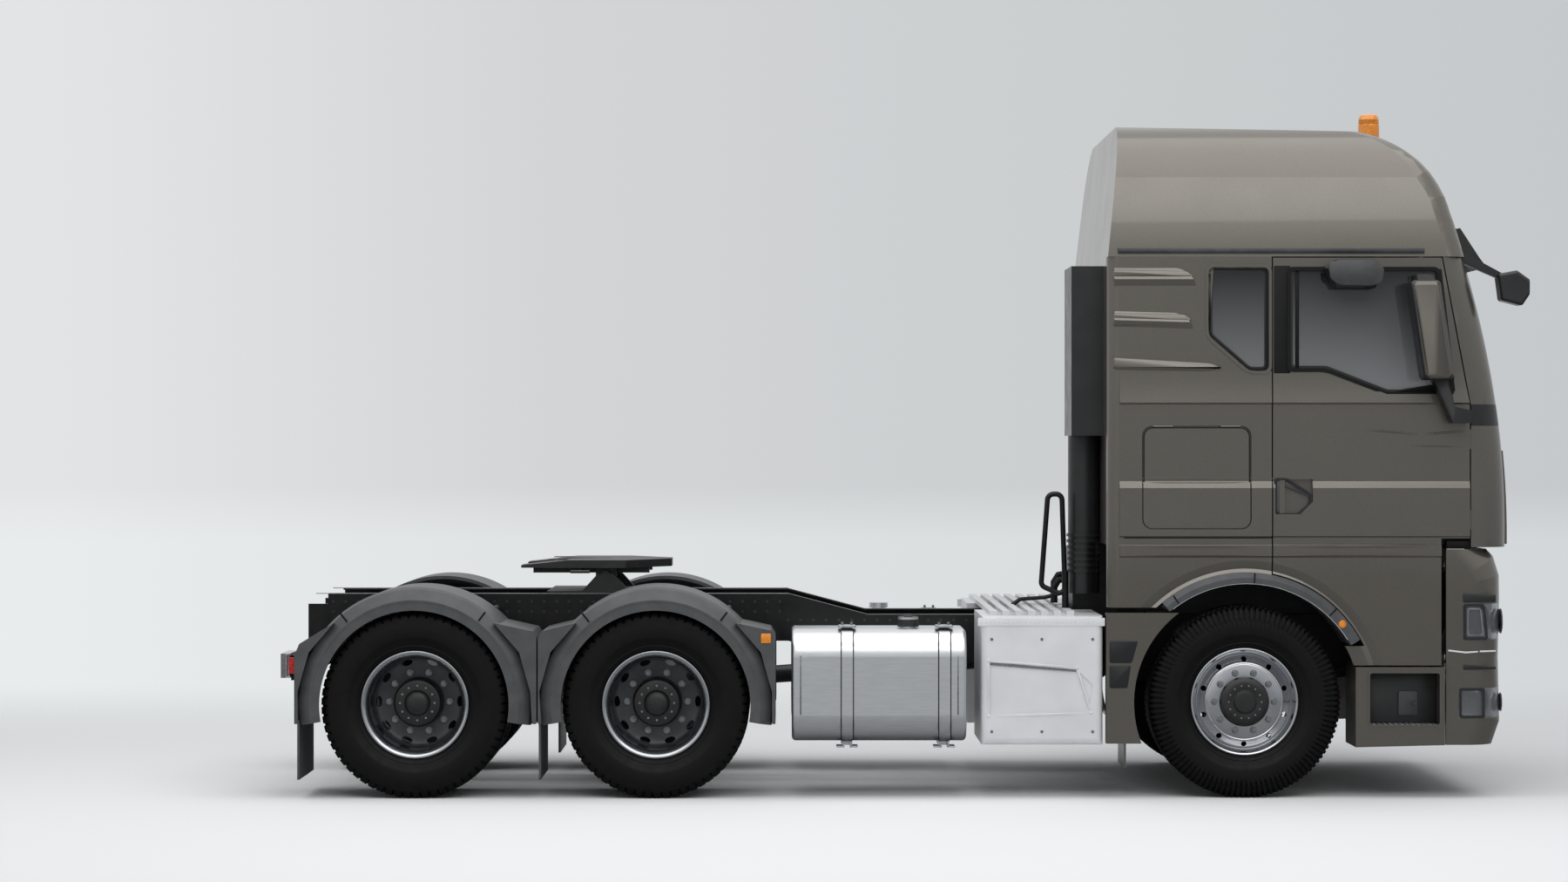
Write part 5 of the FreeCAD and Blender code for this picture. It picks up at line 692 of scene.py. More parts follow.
def drive_discs(axle):
    def build(form):
        turn_about_axle(form, DRIVE_DISC, 120)
        drill = bmesh.new()
        hole = add_stub(drill, 229, -20, 60, 16.5, sides=24)
        bmesh.ops.scale(drill, vec=(1, 1, 1.9), verts=hole)
        repeat_about_axle(drill, 10)
        carve(form, drill)
        both_ways(form)
        set_down(form, CENTRES[axle])
    return build


for axle in ("front_drive", "rear_drive"):
    bodies = wheels(axle)
    finish_pair(f"{axle}_polished_rims", drive_rims(axle), wheel_alloy, bodies, f"{axle}_rims")
    finish_pair(f"{axle}_discs", drive_discs(axle), dark_disc_finish, bodies)
    finish_pair(f"{axle}_nuts", nut_ring(CENTRES[axle], 171, 17), zinc_plate, bodies)
    finish_pair(f"{axle}_hub", turned(CENTRES[axle], DRIVE_HUB), casting, bodies)
    finish_pair(f"{axle}_hub_bolts", bolt_ring(CENTRES[axle], 97, 150, 12, 8), zinc_plate, bodies)


# %% [markdown]
# ## Windows
# A side window is bonded glass with a black ceramic border inside and a rubber seal outside. The border hides the
# door's frame. Seals are thin rings that follow the opening, so each is a flat ring between two outlines, given a
# thickness. The door's window drops near the mirror, and its front edge leans back at the top.


# %% Window seals on the doors
def grown(outline, margin):
    """The same outline, moved outwards by a margin at each corner."""
    count = len(outline)
    area = sum(outline[i - 1][0] * outline[i][1] - outline[i][0] * outline[i - 1][1] for i in range(count))
    turn = 1 if area > 0 else -1
    moved = []
    for index, (x, z) in enumerate(outline):
        before = Vector((x, z)) - Vector(outline[index - 1])
        after = Vector(outline[(index + 1) % count]) - Vector((x, z))
        before.normalize()
        after.normalize()
        normal = (Vector((before.y, -before.x)) + Vector((after.y, -after.x))).normalized()
        lift = margin / max(0.4, normal.dot(Vector((before.y, -before.x))))
        moved.append((x + turn * normal.x * lift, z + turn * normal.y * lift))
    return moved


SKIN = -1220  # the place across of the cab's outer skin
DOORS = ("door_right", "door_left")
DOOR_PANE = [(240, 2395), (450, 2395), (790, 2262), (1165, 2262), (1078, 2965), (240, 2965)]
QUARTER_PANE = [(-205, 2590), (-205, 2968), (125, 2968), (125, 2395), (20, 2395)]


def rectangle(x_low, z_low, x_high, z_high):
    """The outline of an upright rectangle, seen from the side."""
    return [(x_low, z_low), (x_high, z_low), (x_high, z_high), (x_low, z_high)]


def door_seal(form):
    add_frame(form, grown(DOOR_PANE, 9), grown(DOOR_PANE, -12), SKIN + 0.5, -6, 34, 24)


def door_channel(form):
    add_frame(form, grown(DOOR_PANE, -10), grown(DOOR_PANE, -26), -1206, -3, 24, 14)


def door_divider(form):
    add_block(form, (278, -1212, 2385), (300, -1203, 2966), 3)


def door_pillar(form):
    add_plate(form, rectangle(157, 2378, 250, 2980), SKIN + 2, -3, 4, 1)
    add_plate(form, [(800, 2268), (1150, 2268), (1142, 2330), (880, 2290)], -1209, -5, 8, 1)
    add_plate(form, [(1150, 2268), (1178, 2268), (1096, 2962), (1062, 2962)], SKIN + 4, -5, 4, 1)


finish_pair("door_window_pillar", door_pillar, seal_rubber, DOORS)
finish_pair("door_window_seal", door_seal, seal_rubber, DOORS)
finish_pair("door_window_border", door_channel, black_plastic, DOORS)
finish_pair("door_window_channel", door_divider, seal_rubber, DOORS)

# %% [markdown]
# The quarter window behind the door has the same seal and border, and a painted bead pressed round its opening.

# %% Seals and bead of the quarter window
form = bmesh.new()
add_frame(form, grown(QUARTER_PANE, 3), grown(QUARTER_PANE, -10), SKIN + 4, -4, 34, 24)
add_plate(form, rectangle(122, 2390, 150, 2970), SKIN + 2, -3, 3, 1)
finish_piece("quarter_window_seal", form, seal_rubber, "cab", mirrored=True)
form = bmesh.new()
add_frame(form, grown(QUARTER_PANE, 21), grown(QUARTER_PANE, 5), SKIN + 2, -7, 40, 34)
finish_piece("quarter_window_bead", form, cab_paint, "cab", mirrored=True)
form = bmesh.new()
add_frame(form, grown(QUARTER_PANE, -8), grown(QUARTER_PANE, -20), -1206, -3, 24, 14)
finish_piece("quarter_window_border", form, black_plastic, "cab", mirrored=True)

# %% [markdown]
# ## Pressed lines of the body
# Doors and side panels are stamped steel. Their stiffening lines are shallow and soft, and at this distance each
# reads as a light line over a dark one. They are drawn as low ridges with sloping flanks: each is a flat pyramid
# with its tip cut off, stretched along the line, so that all four flanks slope and no edge stands up.


# %% Ridges, beads and strips
DIAGONAL = 1.4142  # a square's diagonal over its side


def ridge(form, start, end, half_width, height, skin=SKIN):
    """A low ridge on the side skin between two places of length and height."""
    (x_start, z_start), (x_end, z_end) = start, end
    length = math.hypot(x_end - x_start, z_end - z_start)
    made = bmesh.ops.create_cone(form, cap_ends=True, segments=4, radius1=half_width / 1000,
                                 radius2=half_width * 0.35 / 1000, depth=height / 1000)["verts"]
    turn(form, made, 45, "Z")
    bmesh.ops.scale(form, vec=(length / DIAGONAL / half_width, 1, 1), verts=made)
    turn(form, made, 90, "X")
    slope = math.atan2(z_end - z_start, x_end - x_start)
    bmesh.ops.rotate(form, cent=(0, 0, 0), matrix=Matrix.Rotation(-slope, 3, "Y"), verts=made)
    middle = at((x_start + x_end) / 2, skin - height / 2 + 0.5, (z_start + z_end) / 2)
    bmesh.ops.translate(form, vec=middle, verts=made)


def door_lines(form):
    ridge(form, (636, 2068), (977, 2037), 9, 5)
    ridge(form, (977, 2037), (1248, 2056), 8, 5)
    ridge(form, (870, 1975), (1248, 1966), 5, 3)
    ridge(form, (374, 1771), (568, 1611), 8, 5)
    ridge(form, (568, 1611), (1248, 1582), 8, 6)
    for height in (1410, 1364):
        ridge(form, (158, height), (1088, height), 8, 7, SKIN - 8)


finish_pair("door_pressed_lines", door_lines, cab_paint, DOORS)

form = bmesh.new()
for height in (1410, 1364):
    ridge(form, (-700, height), (144, height), 8, 7, SKIN - 8)
ridge(form, (-690, 1766), (150, 1766), 6, 4)
ridge(form, (-690, 1790), (150, 1790), 5, 3)
finish_piece("side_pressed_lines", form, cab_paint, "cab", mirrored=True)

form = bmesh.new()
for outline in ([(-742, 2958), (-330, 2952), (-288, 2918), (-330, 2896), (-742, 2892)],
                [(-742, 2716), (-340, 2708), (-296, 2674), (-340, 2650), (-742, 2646)],
                [(-742, 2468), (-200, 2436), (-126, 2408), (-220, 2392), (-742, 2402)]):
    add_plate(form, outline, SKIN + 2, -12, 16, 9)
finish_piece("rear_quarter_ribs", form, cab_paint, "cab", mirrored=True)

# painted shadow: a thin black strip along the waist, behind the door
form = bmesh.new()
add_plate(form, rectangle(-680, 1462, 148, 1455), SKIN + 0.5, -3)
finish_piece("waist_painted_shadow", form, seal_rubber, "cab", mirrored=True)

# %% [markdown]
# ## Drip rail
# Where the plastic roof meets the steel cab a half-round rail covers the joint and carries rain to the back.

# %% Drip rail along the roof joint
form = bmesh.new()
for low_z, high_z, depth in ((3047, 3054, -8), (3055, 3078, -12)):
    add_plate(form, rectangle(-715, low_z, 1000, high_z), SKIN + 1, depth, 0, min(-depth / 2, 5))
finish_piece("drip_rail", form, mirror_plastic, "cab", mirrored=True)

# %% [markdown]
# ## Door handle
# The handle is a moulded cup with a pull bar at its rear edge, and a lock barrel set into the body under it.


# %% Door handles
def handle_bar(form):
    add_plate(form, [(172, 1598), (212, 1598), (206, 1776), (172, 1780)], -1200, -18, 10, 4)
    add_plate(form, [(205, 1752), (352, 1690), (360, 1702), (212, 1782)], -1198, -14, 5, 3)


def handle_rim(form):
    outline = [(165, 1591), (300, 1591), (365, 1650), (365, 1700), (230, 1786), (165, 1786)]
    add_frame(form, grown(outline, 7), grown(outline, -5), SKIN + 1, -5, 16, 10)


def lock_barrel(form):
    add_rod(form, (230, SKIN + 3, 1560), (230, -1224, 1560), 13, 12)
    add_block(form, (228.5, -1225.5, 1554), (231.5, -1223, 1566))


finish_pair("door_handle_bar", handle_bar, mirror_plastic, DOORS)
finish_pair("door_handle_rim", handle_rim, black_plastic, DOORS)
finish_pair("door_lock", lock_barrel, zinc_plate, DOORS)

# %% [markdown]
# ## Locker hatch
# The hatch behind the door is flush, so only its rubber seal shows, as a fine black line round the panel.

# %% Locker hatch seals
HATCH = rectangle(-573, 1513, 25, 2078)


def hatch_seal(form):
    add_frame(form, grown(HATCH, -1), grown(HATCH, -7), SKIN + 1, -2.5, 50, 46)


finish_pair("hatch_seal", hatch_seal, seal_rubber, ("hatch_right", "hatch_left"))

# %% [markdown]
# ## Wheel-arch trim
# The arch trim is moulded in segments that overlap with a stepped joint. A thin pale lip marks its inner edge, and
# an orange marker lamp sits in it ahead of the wheel's crown. All of them are arcs about the wheel's own centre.


# %% Arch trim joints, lips and marker
def arc_band(form, centre, inner, outer, place, depth, start, sweep, steps=24):
    """A flat arc seen from the side, between two radii, from a start angle above the horizontal."""
    low = form.verts.new((inner / 1000, 0, 0))
    high = form.verts.new((outer / 1000, 0, 0))
    edge = form.edges.new((low, high))
    bmesh.ops.rotate(form, cent=(0, 0, 0), matrix=Matrix.Rotation(math.radians(-start), 3, "Y"), verts=[low, high])
    known = set(form.faces)
    bmesh.ops.spin(form, geom=[low, high, edge], cent=(0, 0, 0), axis=(0, 1, 0), angle=math.radians(-sweep),
                   steps=steps)
    band = [face for face in form.faces if face not in known]
    bmesh.ops.translate(form, vec=at(centre[0], place, centre[1]), verts=list({v for f in band for v in f.verts}))
    add_depth(form, band, depth)


ARCH = (0, 538)  # the front wheel's centre, seen from the side

form = bmesh.new()
for start in (46, 86, 124):
    arc_band(form, ARCH, 670, 726, -1266, -2.5, start, 0.7, 2)
finish_piece("arch_trim_joints", form, seal_rubber, "cab", mirrored=True)
form = bmesh.new()
arc_band(form, ARCH, 664, 668, -1256, -8, 32, 96, 40)
finish_piece("arch_trim_lip", form, silver_paint, "cab", mirrored=True)
form = bmesh.new()
add_rod(form, (534, -1262, 978), (534, -1272, 978), 24, 20)
add_rod(form, (534, -1270, 978), (534, -1276, 978), 18, 12)
finish_piece("side_marker", form, orange_lens, "cab", mirrored=True)


# %% [markdown]
# ## Mirrors
# Each mirror is a black housing on two arms, with a painted cap clipped to its outer face. The construction already
# has the housing's true form, so its mesh is copied and only its outer face is divided: an inset leaves a black rim,
# and the part inside the rim is painted like the cab. A thin strip covers the joint at the housing's rear edge.

# %% Door mirrors
CAP_PLACE = -1.44  # the cap lies farther out than this and between these heights, in metres
CAP_LOW, CAP_HIGH = 2.32, 2.9
CAP_RIM = 0.014


def mirror_shell(form):
    """The construction's mirror; its outer face is inset, and the part inside the rim is painted."""
    form.from_mesh(nodes["door_mirrors_right"].data)
    bmesh.ops.remove_doubles(form, verts=form.verts, dist=0.0001)
    outside = [face for face in form.faces
               if face.normal.y < -0.6 and face.calc_center_median().y < CAP_PLACE
               and CAP_LOW < face.calc_center_median().z < CAP_HIGH]
    bmesh.ops.inset_region(form, faces=outside, thickness=CAP_RIM, depth=0)
    for face in outside:
        face.material_index = 1


def mirror_rear_edge(form):
    add_plate(form, [(892, 2840), (904, 2844), (980, 2400), (968, 2396)], -1496, -3, 4, 1)


def ramp_mirror_back(form):
    add_plate(form, [(440, 2990), (520, 3006), (680, 3004), (752, 2960), (738, 2880), (690, 2862), (500, 2866),
                     (448, 2900)], -1384, -5, 20, 4)


for piece in finish_pair("mirror_shell", mirror_shell, black_plastic, DOORS, "door_mirrors"):
    piece.data.materials.append(cab_paint)
    print(piece.name, "painted faces:", sum(face.material_index for face in piece.data.polygons))
finish_pair("mirror_rear_edge", mirror_rear_edge, black_plastic, DOORS)
finish_pair("ramp_mirror_back", ramp_mirror_back, mirror_plastic, DOORS)

# %% [markdown]
# ## Windscreen
# The windscreen's wipers rest at the foot of the glass. Each is a spindle cap, a sprung arm and a blade with a
# rubber lip.

# %% Wipers
form = bmesh.new()
for side in (-1, 0.1, 0.95):
    foot = 700 * side
    add_rod(form, (1424, foot, 2152), (1446, foot, 2160), 20, 14)
    add_rod(form, (1440, foot, 2162), (1422, foot + 320, 2262), 8, 5, 8)
    add_rod(form, (1418, foot + 40, 2250), (1418, foot + 560, 2262), 7, 7, 8)
finish_piece("wipers", form, black_plastic, "cab")

# %% [markdown]
# ## Beacon
# The amber beacon is a ribbed lens over a rotating reflector, on a black rubber base.

# %% Beacon
BEACON_PLACE = (790, -560, 0)
low_corner, high_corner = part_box("beacon")
beacon_base = low_corner[2] * 1000
beacon_top = high_corner[2] * 1000


def beacon_form(form, profile, steps=48):
    """A profile of radius and height, spun about the beacon's upright axis."""
    verts = [form.verts.new((radius / 1000, 0, z / 1000)) for radius, z in profile]
    edges = [form.edges.new(pair) for pair in zip(verts, verts[1:])]
    bmesh.ops.spin(form, geom=verts + edges, cent=(0, 0, 0), axis=(0, 0, 1), angle=math.radians(360), steps=steps,
                   use_merge=True)
    bmesh.ops.remove_doubles(form, verts=form.verts, dist=WELD)
    set_down(form, BEACON_PLACE)


form = bmesh.new()
beacon_form(form, [(0, beacon_top), (30, beacon_top - 1), (48, beacon_top - 8), (57, beacon_top - 22),
                   (58, beacon_top - 30), (60, beacon_top - 34), (58, beacon_top - 38), (60, beacon_top - 58),
                   (58, beacon_top - 62), (61, beacon_top - 66), (62, beacon_base + 42), (66, beacon_base + 38),
                   (0, beacon_base + 38)])
lens_piece = finish_piece("beacon_lens", form, orange_lens, "cab")
form = bmesh.new()
beacon_form(form, [(0, beacon_base + 40), (68, beacon_base + 40), (72, beacon_base + 36), (73, beacon_base + 20),
                   (78, beacon_base + 14), (78, beacon_base), (0, beacon_base)])
base_piece = finish_piece("beacon_base", form, seal_rubber, "cab")
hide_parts("beacon")
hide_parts("beacon")

# %% [markdown]
# ## Front end
# The steel bumper has moulded inserts: a dark eyebrow over each headlamp, pale lips where its panels meet, and a
# barred grille between them.

# %% Bumper lips and eyebrows
form = bmesh.new()
add_plate(form, [(1130, 824), (1232, 812), (1300, 818), (1300, 826), (1232, 822), (1134, 833)], SKIN + 2, -7, 3, 2)
add_plate(form, [(1310, 818), (1400, 822), (1400, 830), (1310, 828)], SKIN + 4, -7, 3, 2)
finish_piece("bumper_lips", form, silver_paint, "chassis", mirrored=True)
form = bmesh.new()
add_plate(form, [(1216, 1150), (1400, 1142), (1400, 1100), (1216, 1096)], SKIN + 4, -8, 8, 3)
add_plate(form, [(1217, 752), (1400, 740), (1400, 724), (1217, 720)], SKIN + 4, -7, 5, 3)
finish_piece("lamp_eyebrows", form, black_plastic, "chassis", mirrored=True)

# %% [markdown]
# Each lamp sits in a black surround. Behind the clear lens there are two chromed reflectors, a tapered cup each, and
# the headlamp has a bright light guide just inside its edge.

# %% Headlamp and fog-lamp surrounds
form = bmesh.new()
HEADLAMP = [(1226, 896), (1226, 1080), (1330, 1080), (1348, 896)]
FOG_LAMP = rectangle(1202, 458, 1330, 610)
add_frame(form, grown(HEADLAMP, 8), grown(HEADLAMP, -6), SKIN + 2, -6, 14, 10)
add_frame(form, grown(FOG_LAMP, 8), grown(FOG_LAMP, -6), SKIN + 2, -6, 14, 10)
finish_piece("lamp_surrounds", form, black_plastic, "chassis", mirrored=True)
form = bmesh.new()
add_frame(form, grown(HEADLAMP, -14), grown(HEADLAMP, -22), SKIN + 3, -5, 12, 10)
finish_piece("headlamp_light_guide", form, chrome, "chassis", mirrored=True)
form = bmesh.new()
for y in (-1090, -940):
    add_rod(form, (1444, y, 988), (1450, y, 988), 66, 72, 32)
    add_rod(form, (1444, y, 533), (1450, y, 533), 48, 54, 32)
finish_piece("reflectors", form, chrome, "chassis", mirrored=True)

# %% [markdown]
# The grille's bars are plain and level, so one is drawn in seven heights. The number plate is a blank.

# %% Grille bars and the blank plate
form = bmesh.new()
for row in range(7):
    add_block(form, (1440, -736, 585 + row * 42), (1450, 0, 593 + row * 42), 2, 1)
finish_piece("grille_bars", form, black_plastic, "chassis", mirrored=True)
form = bmesh.new()
add_block(form, (1447, -260, 440), (1453, 260, 550), 3)
finish_piece("blank_number_plate", form, silver_paint, "chassis")

# %% [markdown]
# ## Entry steps
# The lower tread is metal plate with rows of raised bars, which give grip and let mud fall away. A little locker
# door with a twist latch is let into the recess behind the steps. A rubber strip closes the gap between the bumper
# and the door's foot.

# %% Step tread, locker door and edges
nodes["entry_steps"].data.materials[0] = cab_paint
# painted shade: a black plate at the back of the step recess, where the recess lies in shadow
form = bmesh.new()
add_plate(form, rectangle(691, 413, 1085, 704), -1094, -3, 16, 1)
finish_piece("step_recess_painted_shade", form, black_plastic, "chassis", mirrored=True)
form = bmesh.new()
add_block(form, (1126, -1196, 1396), (1300, -900, 1444), 8, 2)
finish_piece("bumper_gap_closer", form, seal_rubber, "chassis", mirrored=True)
form = bmesh.new()
add_block(form, (700, SKIN - 8, 404), (1080, -1040, 412), 2, 1)
for row in range(5):
    for column in range(12):
        x = 716 + column * 31
        add_block(form, (x, -1216 + row * 36, 411), (x + 18, -1210 + row * 36, 415), 1.4, 1)
finish_piece("step_treads", form, zinc_plate, "chassis", mirrored=True)
form = bmesh.new()
add_plate(form, rectangle(872, 458, 980, 594), -1098, -12, 10, 3)
add_rod(form, (958, -1109, 526), (958, -1116, 526), 15, 13)
add_block(form, (955, -1119, 514), (961, -1114, 538), 1)
finish_piece("step_locker_door", form, mirror_plastic, "chassis", mirrored=True)
form = bmesh.new()
STEP_RECESS = rectangle(689, 411, 1087, 706)
add_frame(form, grown(STEP_RECESS, 7), grown(STEP_RECESS, -4), -1234, -5, 20, 14)
finish_piece("step_recess_rim", form, cab_paint, "chassis", mirrored=True)

# %% [markdown]
# ## Front flap
# The service flap below the windscreen hangs from two hinges at each side; their covers show as dark bars.

# %% Flap hinge covers
form = bmesh.new()
for z in (1880, 1690):
    add_block(form, (1424, -1058, z - 16), (1462, -1040, z + 16), 4)
finish_piece("flap_hinge_covers", form, black_plastic, "cab", mirrored=True)

# %% [markdown]
# ## Guard behind the front wheel
# The guard's outer face has two dark fields, one above the other, that are moulded in black and clipped in. Their
# front edges follow the wheel.

# %% Guard insert
form = bmesh.new()
add_plate(form, [(-765, 760), (-765, 886), (-605, 886), (-640, 760)], -1253, -6, 12, 3)
add_plate(form, [(-765, 620), (-765, 748), (-645, 748), (-664, 620)], -1253, -6, 12, 3)
finish_piece("guard_insert", form, black_plastic, "chassis", mirrored=True)


# %% [markdown]
# ## Tank, locker and deck
# The tank is rolled sheet with a domed end at each side, so a pressed seam runs round it close to both ends. Rubber
# strips keep its two straps from chafing it. A strap stands on feet under the tank and is drawn tight over it by
# two nuts on a clamp.

# %% Tank seams, strap rubbers and cap
STRAPS = (-2229, -1684)  # their middles along the vehicle
STRAP_LOW, STRAP_HIGH = 330, 930
nodes["tank_straps"].data.materials[0] = tank_metal
form = bmesh.new()
for x in (-2490, -1610):
    add_plate(form, rectangle(x - 4, 470, x + 4, 800), -1238, -5, 0, 2)
finish_piece("tank_end_seams", form, zinc_plate, "chassis", mirrored=True)
form = bmesh.new()
for x in STRAPS:
    for edge in (-37, 31):
        add_plate(form, rectangle(x + edge, STRAP_LOW, x + edge + 6, STRAP_HIGH), -1240, -3)
finish_piece("strap_rubbers", form, seal_rubber, "chassis", mirrored=True)
form = bmesh.new()
for x in STRAPS:
    add_block(form, (x - 60, -1190, 284), (x - 16, -1060, 292), 2, 1)
    add_block(form, (x + 16, -1190, 284), (x + 60, -1060, 292), 2, 1)
    add_block(form, (x - 24, -1190, 284), (x - 16, -1060, 318), 2, 1)
    add_block(form, (x + 16, -1190, 284), (x + 24, -1060, 318), 2, 1)
finish_piece("strap_feet", form, tank_metal, "chassis", mirrored=True)
cap_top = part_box("fuel_tanks")[1][2] * 1000
print("tank cap top:", cap_top)
form = bmesh.new()
add_rod(form, (-1880, -960, 950), (-1880, -960, cap_top + 3), 61, 57, 32)
add_block(form, (-1905, -972, cap_top + 1), (-1855, -948, cap_top + 9), 4)
finish_piece("fuel_cap_cover", form, black_plastic, "chassis")
form = bmesh.new()
for x in STRAPS:
    add_block(form, (x - 50, -1150, 952), (x + 50, -1040, 966), 5, 1)
    for bolt in (-26, 26):
        add_rod(form, (x + bolt, -1096, 964), (x + bolt, -1096, 982), 9, 8, 6)
finish_piece("strap_clamps", form, zinc_plate, "chassis", mirrored=True)

# %% [markdown]
# The locker is a silver box with one shallow pressed panel, marked by a lip all round, and closed by screws. A greyer
# strip under its upper lip is painted shade. Above it lies a strip of tread plate, whose raised bars all lean one way.

# %% Locker panel and screws
form = bmesh.new()
PANEL = [(-1440, 462), (-1440, 772), (-944, 733), (-866, 480)]
for index, corner in enumerate(PANEL):
    ridge(form, PANEL[index - 1], corner, 11, 8, -1244)
    add_rod(form, (corner[0], -1244, corner[1]), (corner[0], -1251, corner[1]), 11, 5, 16)
finish_piece("locker_panel_lip", form, silver_paint, "chassis", mirrored=True)
# painted shade: a strip of greyer zinc under the panel's upper lip
form = bmesh.new()
add_plate(form, [(-1432, 762), (-950, 724), (-948, 710), (-1432, 748)], -1244.5, -2)
finish_piece("locker_panel_painted_shade", form, zinc_plate, "chassis", mirrored=True)
form = bmesh.new()
for x in (-1422, -1142, -858):
    for z in (376, 892):
        add_rod(form, (x, -1243, z), (x, -1248, z), 9, 8, 16)
finish_piece("locker_screws", form, zinc_plate, "chassis", mirrored=True)
form = bmesh.new()
add_plate(form, rectangle(-1500, 966, -790, 1012), -1243, -6, 4, 2)
for column in range(28):
    x = -1488 + column * 25
    ridge(form, (x, 976), (x + 14, 1002), 3, 3, -1249)
finish_piece("tread_plate_lip", form, silver_paint, "chassis", mirrored=True)

# %% [markdown]
# ## Frame
# The side members are pressed channels with a hole grid that carries every bracket. Only the bolts are drawn: they
# are small, dark rounds in rows, and leave room where the coupling's plates cover the rail. A bright strip along
# the top flange is a painted highlight on its edge.

# %% Rail bolts and painted highlights on the top edges
form = bmesh.new()
for column in range(38):
    x = -5200 + column * 72
    for row in (1068, 1010):
        if not -3500 < x < -3100 and x < -2600:
            add_rod(form, (x, -419, row), (x, -424, row), 9, 9, 10)
for column in range(24):
    x = -2560 + column * 74
    add_rod(form, (x, -419, 960), (x, -424, 960), 9, 9, 10)
finish_piece("rail_bolts", form, casting, "chassis", mirrored=True)
# painted highlight: a bright zinc strip along the top flange
form = bmesh.new()
add_plate(form, rectangle(-5300, 1113, -2560, 1117), -421, 20)
finish_piece("rail_top_painted_highlight", form, zinc_plate, "chassis", mirrored=True)

# %% [markdown]
# ## Rear fenders
# Each driven axle has a three-part fender: two ends and a removable crown. The parts overlap in two joints, which
# show as narrow dark lines across the arc, and a bead stiffens the inner edge.

# %% Fender joints and edge beads
DRIVEN = ((-3300, 524), (-4650, 524))  # the driven wheels' centres, seen from the side

form = bmesh.new()
for centre in DRIVEN:
    for start in (52, 128):
        arc_band(form, centre, 596, 657, -1272, -3, start, 1.0, 2)
finish_piece("fender_joints", form, seal_rubber, "chassis", mirrored=True)
form = bmesh.new()
for centre in DRIVEN:
    arc_band(form, centre, 578, 588, -1271, -4, 8, 164, 48)
finish_piece("fender_edge_beads", form, fender_plastic, "chassis", mirrored=True)

# %% [markdown]
# Outside the arcs the fenders' ends run down in flat, upright flanks as wide as the twin tyres. Each is one plate
# seen from the side, with a depth that reaches across both tyres.

# %% Fender filler wedges
FENDER_FACE = -1268
FENDER_WIDTH = 640


def wedge(form, outline):
    add_plate(form, outline, FENDER_FACE, FENDER_WIDTH, 6, 2)


form = bmesh.new()
wedge(form, [(-4205, 985), (-3990, 938), (-3966, 900), (-3966, 420), (-3990, 420), (-4000, 600), (-4062, 820)])
wedge(form, [(-3745, 985), (-3938, 938), (-3958, 900), (-3958, 420), (-3938, 420), (-3950, 600), (-3888, 820)])
wedge(form, [(-2855, 985), (-2655, 942), (-2630, 900), (-2630, 420), (-2650, 420), (-2650, 600), (-2712, 820)])
wedge(form, [(-5095, 985), (-5290, 868), (-5318, 800), (-5318, 420), (-5298, 420), (-5300, 600), (-5238, 820)])
finish_piece("fender_wedges", form, fender_plastic, "chassis", mirrored=True)

# %% [markdown]
# Red lamps close the frame at the back, three chambers at each side with a small lens on the end. An orange marker
# sits on the front end of the first fender.

# %% Tail lamps
form = bmesh.new()
for y_low, y_high in ((-1236, -1128), (-1122, -1014), (-1008, -904)):
    add_block(form, (-5366, y_low, 682), (-5360, y_high, 806), 3, 2)
finish_piece("tail_lenses", form, red_lens, "chassis", mirrored=True)
form = bmesh.new()
add_block(form, (-5350, -1242, 700), (-5320, -1238, 790), 2, 1)
finish_piece("tail_side_lenses", form, red_lens, "chassis", mirrored=True)
form = bmesh.new()
add_block(form, (-2712, -1278, 872), (-2656, -1266, 926), 5, 2)
add_rod(form, (-2684, -1276, 899), (-2684, -1281, 899), 17, 13)
finish_piece("rear_side_markers", form, orange_lens, "chassis", mirrored=True)

# %% [markdown]
# ## Coupling
# The coupling's top is a cast plate with grease grooves that keep it slippery under the trailer.

# %% Grease grooves of the coupling
form = bmesh.new()
for y in (-330, -220, 220, 330):
    add_block(form, (-3960, y - 5, 1306), (-3420, y + 5, 1308.5))
finish_piece("coupling_grease_strips", form, casting, "fifth_wheel")

# %% [markdown]
# ## Back wall
# A bundle of pipes runs behind the cab's back wall: air and water in black hose with bright clamps. All are clipped
# to the frame, so they don't swing.

# %% Pipes behind the cab
form = bmesh.new()
for y, z in ((-380, 1150), (-330, 1180)):
    add_tube(form, [(-1010, y, 1060), (-1010, y, z), (-985, y, z + 40), (-930, y, z + 50), (-860, y, z + 50)], 19)
for y in (-300, -250, -200):
    add_tube(form, [(-1250, y, 1040), (-1200, y, 1075), (-1060, y, 1085), (-960, y, 1110), (-880, y, 1160)], 9, 8)
finish_piece("service_pipes", form, seal_rubber, "chassis")
form = bmesh.new()
for x, y, z in ((-1010, -380, 1120), (-1010, -330, 1120), (-900, -380, 1198), (-900, -330, 1228)):
    add_block(form, (x - 23, y - 23, z - 7), (x + 23, y + 23, z + 7), 5)
finish_piece("pipe_clamps", form, zinc_plate, "chassis")

# %% [markdown]
# The cab's back wall is sheet steel. Long beads are pressed across it to keep it from drumming, and a slatted vent
# lets the cab's air out.

# %% Beads and vent of the back wall
form = bmesh.new()
for row in range(7):
    z = 1560 + row * 190
    add_block(form, (-784, -400, z), (-770, 1060, z + 44), 9, 3)
finish_piece("back_wall_beads", form, cab_paint, "cab")
form = bmesh.new()
add_block(form, (-790, 640, 1250), (-770, 1000, 1450), 6)
for row in range(7):
    add_block(form, (-797, 655, 1268 + row * 26), (-788, 985, 1280 + row * 26), 3, 1)
finish_piece("back_wall_vent", form, black_plastic, "cab")


# %% [markdown]
# ## Seats and bunk
# A seat is foam in a sewn cover. The foam pushes the cover out, so no side is flat. The cloth simulation does just
# that: a slightly small block is remeshed to an even grid, air pressure fills it with gravity off, and no point may
# move further than a set distance. Only one seat is simulated, and its twin is mirrored.


